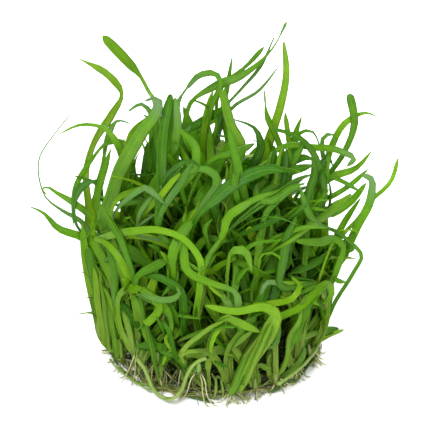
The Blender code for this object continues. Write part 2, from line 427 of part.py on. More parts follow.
def apart(first, second):
    """Whether two boxes are clear of each other."""
    return any(first[0][i] > second[1][i] or second[0][i] > first[1][i] for i in range(3))


class Clump:
    """The crowns and leaves placed so far, with what later leaves have to stay clear of."""

    def __init__(self):
        self.crowns = crown_places()
        self.leaves = [[] for _ in self.crowns]
        self.solids = []
        self.missing = []
        for number, crown in enumerate(self.crowns):
            self.add_block(crown_mesh(crown), number)
        self.add_block(mat_mesh(), None)

    def add_block(self, bm, number):
        """Keep a crown, the mat or a runner as a thing that leaves stay clear of."""
        corners = [vert.co / MM for vert in bm.verts]
        low = Vector(min(c[i] for c in corners) for i in range(3))
        high = Vector(max(c[i] for c in corners) for i in range(3))
        faces = [[vert.index for vert in face.verts] for face in bm.faces]
        self.solids.append((number, True, (low, high), BVHTree.FromPolygons(corners, faces)))
        bm.free()

    def is_clear(self, number, rings, end_point, free_rings):
        """Whether a leaf, grown by the gap, touches nothing outside its own crown's sheath."""
        box = box_of(rings, end_point)
        whole = test_tree(rings, end_point)
        upper = test_tree(rings[free_rings:], end_point) if free_rings < len(rings) - 1 else None
        for owner, is_block, other_box, other in self.solids:
            if apart(box, other_box):
                continue
            if owner == number and is_block:
                continue
            if owner == number:
                if upper and upper.overlap(other):
                    return False
            elif whole.overlap(other):
                return False
        return True

    def try_leaf(self, number, line, width, end, facing, turn):
        """Place a leaf on a crown if it is clear there."""
        picked = stations(line)
        rings, end_point = sections(picked, width, end, facing, turn, GAP)
        if min(corner.z for ring in rings for corner in ring) < LOWEST - 0.5 or end_point.z < 0.4:
            return False
        length = 0.0
        free_rings = 0
        for k in range(1, len(picked)):
            length += (picked[k][0] - picked[k - 1][0]).length
            if length < SHEATH:
                free_rings = k
        if not self.is_clear(number, rings, end_point, free_rings + 1):
            return False
        rings, end_point = sections(picked, width, end, facing, turn)
        self.leaves[number].append((rings, end_point))
        self.solids.append((number, False, box_of(rings, end_point), test_tree(rings, end_point)))
        return True


def crown_places():
    """Where the crowns stand: a ring round the mat, and rings on it. (x, y, z of the bottom)"""
    places = [Vector((x, y, FOOT_CLEARANCE)) for x, y in FRONT_CROWNS]
    for k in range(RIM_COUNT):
        angle = math.radians(8.0 + 164.0 * k / (RIM_COUNT - 1))
        places.append(Vector((RIM_RADIUS * math.cos(angle), RIM_RADIUS * math.sin(angle), FOOT_CLEARANCE)))
    for radius, count, start in INNER_RINGS:
        for k in range(count):
            angle = start + 2.0 * math.pi * k / count
            reach = radius + 1.2 * math.sin(3.0 * k)
            places.append(Vector((reach * math.cos(angle), reach * math.sin(angle), MAT_HEIGHT + 2.0 * GAP)))
    places.append(Vector((-1.5, -0.5, MAT_HEIGHT + 2.0 * GAP)))
    return places


def crown_mesh(place):
    """A crown: a little bulb, narrower above, with its lowest point at the place given."""
    bm = bmesh.new()
    bmesh.ops.create_uvsphere(bm, u_segments=CROWN_SIDES, v_segments=4, radius=1.0)
    half = CROWN_HEIGHT / 2.0
    for vert in bm.verts:
        narrow = 1.0 if vert.co.z < 0.1 else 0.86
        vert.co.x *= CROWN_RADIUS * narrow * MM
        vert.co.y *= CROWN_RADIUS * narrow * MM
        vert.co.z = (vert.co.z * half + half) * MM
        vert.co += place * MM
    bm.verts.index_update()
    return bm


def mat_mesh():
    """The root mat: a flat, lumpy disc with a rounded upper edge and a flat underside."""
    bm = bmesh.new()
    bmesh.ops.create_cone(bm, cap_ends=True, segments=MAT_SIDES, radius1=MAT_RADIUS, radius2=MAT_RADIUS,
                          depth=MAT_HEIGHT)
    bmesh.ops.translate(bm, verts=bm.verts, vec=(0.0, 0.0, MAT_HEIGHT / 2.0))
    for vert in bm.verts:
        angle = math.atan2(vert.co.y, vert.co.x)
        lump = 0.975 + 0.025 * math.sin(5.0 * angle + 0.7) * math.cos(3.0 * angle)
        if vert.co.z > 0.5:
            lump -= 0.035
        vert.co.x *= lump
        vert.co.y *= lump
    bmesh.ops.scale(bm, verts=bm.verts, vec=(MM, MM, MM))
    bm.verts.index_update()
    return bm


def nearest_crown(clump, low_point):
    """The crown that a leaf's lowest seen point grows from: near below it, and not yet full."""
    def cost(number):
        crown = clump.crowns[number]
        sideways = math.hypot(crown.x - low_point.x, crown.y - low_point.y)
        return sideways / (low_point.z + 8.0) + 0.09 * len(clump.leaves[number])
    return sorted(range(len(clump.crowns)), key=cost)


def leaf_line(crown, drawn, front, tip, push):
    """A leaf's line in space, from inside its crown through the drawn points to its tip."""
    low = crown + Vector((0.0, 0.0, CROWN_HEIGHT * 0.55))
    count = len(drawn) - 1
    points = []
    for k, (across, up) in enumerate(drawn):
        share = k / count
        eased = min(1.0, 0.35 + share * 1.3)
        points.append(placed(across, up, front + (tip - front) * share, push * eased))
    reach = (points[0] - low).length
    if reach < 4.0:
        points = points[1:]
    start = [low]
    if reach > 16.0:
        start.append(low.lerp(points[0], 0.42) + Vector((0.0, 0.0, 0.1 * reach)))
    return smooth_line(start + points)


def grow_drawn_leaves(clump):
    """Place each drawn leaf, pushed back until it lies clear of the leaves in front of it."""
    for index, (width, front, tip, end, drawn) in enumerate(LEAVES):
        low_point = placed(*drawn[0], front, 0.0)
        lean = 0.45 * math.sin(2.4 * index)
        if not grown(clump, low_point, width, front, tip, end, drawn, lean):
            clump.missing.append(index)


def grown(clump, low_point, width, front, tip, end, drawn, lean):
    """Try a drawn leaf on its nearest crowns, at each push and turn."""
    for push in PUSHES:
        for number in nearest_crown(clump, low_point)[:4]:
            line = leaf_line(clump.crowns[number], drawn, front, tip, push)
            for turn in TURNS:
                if clump.try_leaf(number, line, width, end, TOWARD, lean + turn):
                    return True
    return False


def inside_clump(point):
    """Whether a point lies in the clump's body, and the front view shows it in its dense part."""
    if math.hypot(point.x, point.y) > stepped(BODY, point.z) + FILL_REACH:
        return False
    across, up = on_view(point)
    inside = False
    for (x0, y0), (x1, y1) in zip(DENSE, DENSE[1:] + DENSE[:1]):
        if (y0 > up) != (y1 > up) and across < (x1 - x0) * (up - y0) / (y1 - y0) + x0:
            inside = not inside
    return inside


def grow_hidden_leaves(clump):
    """Grow the leaves that the front view doesn't show, until each crown is full."""
    rng = random.Random(FILL_SEED)
    for number, crown in enumerate(clump.crowns):
        outward = math.atan2(crown.y, crown.x)
        for _ in range(FILL_TRIES):
            if len(clump.leaves[number]) >= FULL_CROWN:
                break
            heading = outward + rng.uniform(-1.5, 1.5)
            lean = math.radians(rng.uniform(0.0, 15.0))
            curl = rng.uniform(0.2, 2.2)
            length = rng.uniform(50.0, 100.0)
            side = rng.uniform(-0.9, 0.9)
            width = rng.uniform(1.6, 3.0)
            line = free_line(crown, heading, lean, curl, length, side)
            if all(inside_clump(point) for point in line[len(line) // 4:]) and line[-1].z > 12.0:
                facing = Vector((math.cos(heading), math.sin(heading), 0.4))
                clump.try_leaf(number, line, width, "tip", facing, rng.uniform(-0.6, 0.6))


def free_line(crown, heading, lean, curl, length, side):
    """A free leaf's line: up and a little outward, then over at its end, swaying to one side."""
    steps = 24
    point = crown + Vector((0.0, 0.0, CROWN_HEIGHT * 0.55))
    line = [point.copy()]
    for k in range(steps):
        share = k / (steps - 1)
        tilt = lean + curl * share ** 3
        turn = heading + side * math.sin(2.6 * share)
        point = point + Vector((math.sin(tilt) * math.cos(turn), math.sin(tilt) * math.sin(turn),
                                math.cos(tilt))) * (length / steps)
        line.append(point.copy())
    return line


def push_end(bm, face, corners, fresh, first):
    """Push a strip's end face on to the next section, leaving no face inside the strip."""
    pushed = bmesh.ops.extrude_face_region(bm, geom=[face])["geom"]
    if not first:
        bmesh.ops.delete(bm, geom=[face], context="FACES_ONLY")
    end_face = next(item for item in pushed if isinstance(item, bmesh.types.BMFace))
    for vert in end_face.verts:
        nearest = min(range(3), key=lambda i: (vert.co - corners[i] * MM).length)
        vert.co = fresh[nearest] * MM
    return end_face


def leaf_mesh(rings, end_point):
    """A leaf: its first section pushed along its line, section by section, and closed to a point."""
    bm = bmesh.new()
    face = bm.faces.new([bm.verts.new(corner * MM) for corner in rings[0]])
    for index in range(1, len(rings)):
        face = push_end(bm, face, rings[index - 1], rings[index], index == 1)
    face = push_end(bm, face, rings[-1], rings[-1], False)
    bmesh.ops.pointmerge(bm, verts=list(face.verts), merge_co=end_point * MM)
    bmesh.ops.recalc_face_normals(bm, faces=bm.faces)
    return bm


def linked_object(name, bm, collection, material=None):
    """Turn a bmesh into an object in a collection."""
    mesh = bpy.data.meshes.new(name)
    bm.to_mesh(mesh)
    bm.free()
    thing = bpy.data.objects.new(name, mesh)
    collection.objects.link(thing)
    if material:
        mesh.materials.append(material)
    return thing


def runner_object(name, diameter, drawn, depths, collection):
    """A runner: a round strand along its line, with closed ends."""
    points = [seen(across, up, back) for (across, up), back in zip(drawn, depths)]
    for point in points:
        point.z = max(point.z, diameter / 2.0 + 0.1)
    line = smooth_line(points, per_span=2)
    curve = bpy.data.curves.new(name, "CURVE")
    curve.dimensions = "3D"
    curve.bevel_depth = diameter / 2.0 * MM
    curve.bevel_resolution = 1
    curve.use_fill_caps = True
    spline = curve.splines.new("POLY")
    spline.points.add(len(line) - 1)
    for target, point in zip(spline.points, line):
        target.co = (*(point * MM), 1.0)
    guide = bpy.data.objects.new(name, curve)
    collection.objects.link(guide)
    bpy.context.view_layer.update()
    evaluated = guide.evaluated_get(bpy.context.evaluated_depsgraph_get())
    mesh = bpy.data.meshes.new_from_object(evaluated)
    bm = bmesh.new()
    bm.from_mesh(mesh)
    bmesh.ops.remove_doubles(bm, verts=bm.verts, dist=1e-6)
    bpy.data.objects.remove(guide)
    bpy.data.meshes.remove(mesh)
    return linked_object(name, bm, collection)


def is_whole(mesh, tips):
    """Whether a joined mesh is one closed surface that still has every leaf's tip on it."""
    bm = bmesh.new()
    bm.from_mesh(mesh)
    closed = all(edge.is_manifold and edge.is_contiguous for edge in bm.edges)
    kept = all(any((vert.co / MM - tip).length < 0.01 for vert in bm.verts) for tip in tips)
    bm.free()
    return closed and kept


def joined_mesh(plantlet, solver):
    """The plantlet's mesh with its leaves joined by one of the Boolean solvers."""
    for join in plantlet.modifiers:
        join.solver = solver
    bpy.context.view_layer.update()
    mesh = bpy.data.meshes.new_from_object(plantlet.evaluated_get(bpy.context.evaluated_depsgraph_get()))
    bm = bmesh.new()
    bm.from_mesh(mesh)
    bmesh.ops.remove_doubles(bm, verts=bm.verts, dist=MERGE * MM)
    bm.to_mesh(mesh)
    bm.free()
    return mesh


def fused(name, crown, leaves, collection, helpers):
    """A plantlet: its crown with every leaf joined to it in one solid."""
    plantlet = linked_object(name, crown_mesh(crown), collection)
    for number, (rings, end_point) in enumerate(leaves):
        leaf = linked_object(f"{name}_leaf_{number}", leaf_mesh(rings, end_point), helpers)
        join = plantlet.modifiers.new("join", "BOOLEAN")
        join.operation = "UNION"
        join.object = leaf
    mesh = joined_mesh(plantlet, "EXACT")
    if not is_whole(mesh, [end_point for _, end_point in leaves]):
        mesh = joined_mesh(plantlet, "MANIFOLD")
    plantlet.modifiers.clear()
    plantlet.data = mesh
    mesh.name = name
    for helper in list(helpers.objects):
        bpy.data.objects.remove(helper)
    return plantlet


def new_collection(name):
    """A collection in the scene."""
    collection = bpy.data.collections.new(name)
    bpy.context.scene.collection.children.link(collection)
    return collection


def main():
    """Model the clump."""
    clear_scene()
    parts = new_collection("dwarf_sagittaria")
    helpers = new_collection("helpers")
    clump = Clump()
    for index, (diameter, drawn, depths) in enumerate(RUNNERS):
        runner = runner_object(f"runner_{index + 1}", diameter, drawn, depths, parts)
        runner.data.materials.append(plain_material(f"runner_{index + 1}", (0.32, 0.42, 0.10), 0.5))
        bm = bmesh.new()
        bm.from_mesh(runner.data)
        clump.add_block(bm, None)
    grow_drawn_leaves(clump)
    grow_hidden_leaves(clump)
    mat = linked_object("root_mat", mat_mesh(), parts, plain_material("root_mat", (0.16, 0.17, 0.05), 0.8))
    mat.data.shade_flat()
    for number, (crown, leaves) in enumerate(zip(clump.crowns, clump.leaves)):
        name = f"plantlet_{number + 1:02d}"
        plantlet = fused(name, crown, leaves, parts, helpers)
        shade = 0.85 + 0.3 * ((number * 7) % 5) / 4.0
        plantlet.data.materials.clear()
        plantlet.data.materials.append(plain_material(name, (0.10 * shade, 0.30 * shade, 0.025), 0.42))
    bpy.data.collections.remove(helpers)
    return clump


main()
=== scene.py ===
"""Dwarf sagittaria: the looks of a bare clump of plantlets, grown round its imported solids.

Each plantlet's solid is read leaf by leaf, and a fine strap leaf is laid along each of its leaves. Small
leaves, crowns, roots, the woven mat and the runners follow. Lengths are in millimetres until they become
a mesh, and every random draw is seeded, so the clump grows the same each time.
"""
import json
import math
import random

import bmesh
import bpy
from mathutils import Matrix, Vector, noise

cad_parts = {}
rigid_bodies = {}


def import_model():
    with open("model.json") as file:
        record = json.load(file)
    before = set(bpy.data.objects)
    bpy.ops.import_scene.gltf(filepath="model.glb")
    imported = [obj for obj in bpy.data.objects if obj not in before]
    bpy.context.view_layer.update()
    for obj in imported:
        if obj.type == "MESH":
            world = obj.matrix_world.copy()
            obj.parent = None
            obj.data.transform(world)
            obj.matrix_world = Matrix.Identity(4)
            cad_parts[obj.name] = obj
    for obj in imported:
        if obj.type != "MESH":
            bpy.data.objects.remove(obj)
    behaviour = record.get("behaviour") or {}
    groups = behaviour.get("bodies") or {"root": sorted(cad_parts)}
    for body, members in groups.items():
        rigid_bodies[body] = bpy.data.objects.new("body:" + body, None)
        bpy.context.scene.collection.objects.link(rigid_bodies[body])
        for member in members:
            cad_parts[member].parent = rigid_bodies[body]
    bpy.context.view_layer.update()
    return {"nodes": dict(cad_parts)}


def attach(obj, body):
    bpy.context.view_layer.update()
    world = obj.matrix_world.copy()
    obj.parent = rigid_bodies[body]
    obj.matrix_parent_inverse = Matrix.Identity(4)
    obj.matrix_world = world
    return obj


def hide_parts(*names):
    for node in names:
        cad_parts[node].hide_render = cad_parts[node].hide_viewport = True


for thing in list(bpy.data.objects):
    bpy.data.objects.remove(thing)
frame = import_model()

MM = 0.001
SEED = 11
ROUND = 2.0 * math.pi

# How near, in metres, corners lie that are sewn together: a solid's, a fine surface's and the felt's
MERGE = 0.002 * MM
SEAM = 1e-8
FELT_SEAM = 1e-7

# The front view of the clump, where leaves are named by the place of their tips
VIEW_TILT = math.radians(27.3)
VIEW_DISTANCE = 600.0
VIEW_HEIGHT = 45.6
VIEW_WIDTH = 129.0
SENSOR = 36.0
TOWARD = Vector((0.0, -math.cos(VIEW_TILT), math.sin(VIEW_TILT)))
UPWARD = Vector((0.0, math.sin(VIEW_TILT), math.cos(VIEW_TILT)))
AIM = Vector((0.0, 0.0, VIEW_HEIGHT))
AIM_UP = VIEW_HEIGHT * math.cos(VIEW_TILT)
EYE = AIM + TOWARD * VIEW_DISTANCE

# The studio, in metres: half its floor, its own light, the place that its soft lights face, and those lights:
# (name, place, size, power)
FLOOR_HALF = 4.0
STUDIO_LIGHT = 0.76
LIT_PLACE = Vector((0.0, 0.0, 0.045))
SOFT_LIGHTS = [("key", (-0.30, -0.60, 0.75), 0.35, 9.0),
               ("fill", (0.35, -0.80, 0.30), 0.50, 5.0),
               ("back", (0.10, 0.60, 0.55), 0.50, 9.0)]

# A crown: the corners round its foot in the solid and how level they are, how far off a leaf's tip is at least,
# where its leaves start, and its middle, half height and radius
CROWN_SIDES = 5
CROWN_LEVEL = 0.05
TIP_FROM_CROWN = 9.0
LEAF_START = Vector((0.0, 0.0, 3.4))
CROWN_MIDDLE = Vector((0.0, 0.0, 2.8))
CROWN_HALF_HEIGHT = 2.7
CROWN_RADIUS = 0.95

# The crowns' ground, in plan: the rim, how wide a band inside it has paler leaves and splayed roots, the line
# that the front plantlets stand before, and two plots, each (left, right, the line it lies before)
RIM_RADIUS = 30.2
PALE_BAND = 5.0
SPLAYED_BAND = 3.0
FRONT_LINE = -20.0
# On the shady plot the sheaths are darker and their pale feet short: painted shade
SHADY_PLOT = (-26.0, 2.0, -10.0)
HUNG_PLOT = (-25.0, 3.0, -17.0)

# Crowns on the hung plot stand on their roots, over the floor: how far up its leaves each is raised, how much of
# its width a leaf's foot keeps there, how many roots each has, and the height over which roots and stems hang
HUNG_CLIMB = 7.5
HUNG_WIDTH = 0.3
HUNG_ROOTS = 12
HUNG_HEIGHT = 2.0

# The root mat: its felt, how far its strands and litter reach, how many it has of each, and of fine roots, and
# the gap under them all. Then how much thinner than their solids the runners are, and their tone
FELT_RADIUS = 22.5
FELT_LOW = 0.15
FELT_TONE = 0.38
STRAND_RADII = (9.0, 28.6)
RIM_RADII = (28.0, 32.6)
STRAND_REACH = 33.0
STRAND_STEP = 3.5
LITTER_RADIUS = 26.0
LITTER_REACH = 28.5
STRANDS = 170
RIM_STRANDS = 90
LITTER = 190
MAT_ROOTS = 150
INNER_ROOTS = 5
FLOOR_GAP = 0.02
RUNNER_TRIM = 0.2
RUNNER_TONE = 0.6

# Root ends on the floor, where the front view shows them: (across, up, thickness, tone)
SEEN_ROOTS = [
    (-24, -10.5, 0.45, 0.6), (-20, -12, 0.4, 0.5), (-10.5, -15, 0.5, 0.8), (-4, -17, 0.5, 0.7),
    (-1, -17.2, 0.35, 0.9), (2.5, -16.7, 0.5, 0.8), (7, -16, 0.4, 0.7), (13, -14.7, 0.5, 0.5),
    (20.5, -10, 0.45, 0.4),
]

# Stems and roots that hang from the crowns on to the floor, where the front view shows them: the height each
# starts and ends at, its tone, and its places (across, up, thickness)
SEEN_STEMS = [
    (0.9, 0.6, 0.45, [(-29.5, -4.2, 0.8), (-28, -6, 1), (-26, -7.5, 1), (-24.5, -8.8, 1), (-23, -9.8, 1),
        (-20, -10.6, 1), (-18.8, -11.5, 1), (-17, -13.5, 0.8), (-15, -14.6, 0.5)]),
    (6.5, 0.5, 0.6, [(-22.8, -2.8, 0.8), (-21, -4.8, 1), (-19.8, -7.5, 1), (-19.2, -9.5, 1), (-17.8, -12, 0.8),
        (-16, -14.2, 0.5)]),
    (9, 0.8, 0.75, [(-5.5, -3, 0.8), (-7, -4.2, 1), (-8, -6, 1), (-8.8, -8.5, 1.1), (-9.7, -11, 1.1),
        (-11, -13.2, 1), (-13, -14.8, 0.9), (-14.5, -14.9, 0.8), (-16.5, -14, 0.5)]),
    (6, 0.5, 0.4, [(0.5, -8, 0.9), (0.3, -12, 1), (-0.5, -15, 0.5)]),
    (6, 0.5, 0.45, [(2, -9, 0.9), (2.4, -12, 0.8), (2.5, -14.5, 0.5)]),
    (1, 0.5, 0, [(-7.5, -13.5, 0.6), (-4, -14.8, 0.9), (0, -16, 0.5)]),
    (1.2, 0.5, 0.05, [(-13, -11.5, 0.6), (-9, -13.4, 0.9), (-5, -14.6, 0.8), (-1, -15.2, 0.4)]),
]
SEEN_ROOTLETS = [
    (6, 0.4, 0.7, [(-16.7, -5.5, 0.6), (-16.6, -8, 0.6), (-15.9, -11, 0.5), (-15.8, -13.5, 0.3)]),
    (3.5, 0.4, 0.35, [(-26.5, -3, 0.5), (-26, -6, 0.5), (-25, -9.5, 0.3)]),
    (4, 0.4, 0.5, [(-24.5, -4, 0.5), (-23.6, -6, 0.5), (-22, -8.4, 0.3)]),
    (1.5, 0.4, 0.95, [(-8, -12, 0.4), (-10.5, -13.6, 0.4), (-11, -15, 0.25)]),
    (8, 0.6, 0.75, [(-2.7, -4, 0.5), (-4.3, -5.5, 0.5), (-4, -8, 0.5), (-3.5, -10, 0.3)]),
    (8, 0.6, 0.7, [(-2, -4, 0.5), (-2, -7, 0.5), (-1.5, -10, 0.5), (-2.2, -11.5, 0.3)]),
    (7, 0.5, 0.8, [(-2, -6, 0.5), (0, -9, 0.5), (0, -11.5, 0.4), (-0.5, -13, 0.3)]),
    (1.2, 0.4, 0.5, [(5.2, -14.3, 0.45), (4.4, -15.6, 0.4), (3, -16.5, 0.25)]),
    (1.2, 0.4, 0.7, [(4.5, -13.5, 0.45), (6, -15.5, 0.4), (8, -16, 0.25)]),
    (1.2, 0.4, 0.4, [(7.5, -14, 0.4), (8.3, -15.2, 0.35), (8.7, -16.5, 0.2)]),
    (1.2, 0.4, 0.6, [(10.5, -13.5, 0.45), (10.2, -14.8, 0.4), (9.5, -15.8, 0.25)]),
    (0.8, 0.4, 0.45, [(13, -14.6, 0.4), (14.5, -12.8, 0.45), (17, -12, 0.4), (19.5, -11.5, 0.4),
        (20.6, -10, 0.25)]),
]

# How fine a leaf is: faces round its section, steps along it, how far its last rings are from its tip, and where
# the last column of its grid lies, which closes on the first
LEAF_ROUND = 12
SMALL_ROUND = 8
STEP_LENGTH = 2.1
FEWEST_STEPS = 12
MOST_STEPS = 50
TIP_STEPS = [3.2, 1.9, 1.0, 0.4]
GRID_END = 0.4999

# How far a drawn leaf's blade may lean out of the view, how many shares of each solid leaf it's set against, and
# how near one has to be on the front view to lie behind it
LEAF_LEAN = 0.4
LEAF_SHARES = 30
NEAR_ON_VIEW = 2.2

# Sister leaves: how many each leaf has, how long a front leaf that has none is, the gap they cross to another
# leaf, the steps they are drawn in, their width from foot to tip, and how high their tips are at least. They
# reach little over the top of the dense body of the clump, which is (across, up) on the front view
SISTERS = 3
LONE_LENGTH = 60.0
SISTER_TRIES = 12
SISTER_GAP = (6.0, 28.0)
SISTER_STEPS = 7
SISTER_WIDTHS = [(0.0, 0.5), (0.25, 0.7), (0.5, 0.95), (0.8, 1.0), (0.93, 0.8), (1.0, 0.5)]
SISTER_LOW = 6.0
OVER_TOP = 3.0
BODY_TOP = [(-42, 36), (-38, 50), (-30, 60), (-22, 68), (-12, 75), (-4, 75), (4, 72), (12, 63), (24, 64),
            (33, 60), (40, 50), (44, 36)]

# How a leaf ends that has no blade of its own: how full it stays, where its end starts, and how blunt it is. Then
# how much its sheath widens its foot, and how far a sheath's edges roll in
LEAF_ENDS = {"acute": (0.5, 0.84, 1.8), "blunt": (0.95, 0.90, 2.2), "cut": (0.9, 1.1, 1.0)}
SHEATH_SWELL = 0.3
SHEATH_CUP = 0.7

# Leaves that the front view shows high up, in part or in full, are warmer and wider, and greyer under more painted
# sheen
HIGH_FROM, HIGH_TO = 60.0, 80.0
HIGH_WARM, HIGH_PAINTED_SHEEN, HIGH_WIDE = 0.34, 0.08, 0.12

# At the left of this line on the front view, leaves are lighter over the shade's top and darker under it
LEFT_OF = -4.0
SHADE_TOP = 33.0
SUNLIT, SHADED, ELSEWHERE_LIT = 0.14, -0.04, 0.02

# How near a leaf's tip has to be to a named place to be that leaf
NAMED_WITHIN = 1.6

# Blade forms in common: the width at each distance from the tip
STRAP = [(0, 0), (1, 0.6), (3, 1.3), (6, 1.9), (12, 2.4), (40, 2.2), (120, 1.6)]
BLUNT = [(0, 0), (0.5, 1.1), (1.5, 1.7), (4, 2.1), (12, 2.4), (40, 2.2), (120, 1.6)]
SPEAR = [(0, 0), (2, 0.5), (5, 1.0), (10, 1.7), (18, 2.4), (40, 2.2), (120, 1.6)]


def green(light, warm, **more):
    """How a leaf looks: dark to light, cold to warm, and what else LeafLook is told of it."""
    return dict(light=light, warm=warm, **more)


VIVID = green(0.78, 0.5)
BRIGHT = green(0.66, 0.5)
DARK = green(0.22, 0.35)
DEEP = green(0.34, 0.4)
CLEAR = green(0.7, 0.85)
MID = green(0.48, 0.45)
DUSK = green(0.36, 0.4)
OLIVE = green(0.5, 0.95)
# A mid green under a thick painted grey sheen
GREY_SHEENED = green(0.52, 0.4, frost=0.55)
WASHED = green(0.66, 0.75, bleach=0.45)

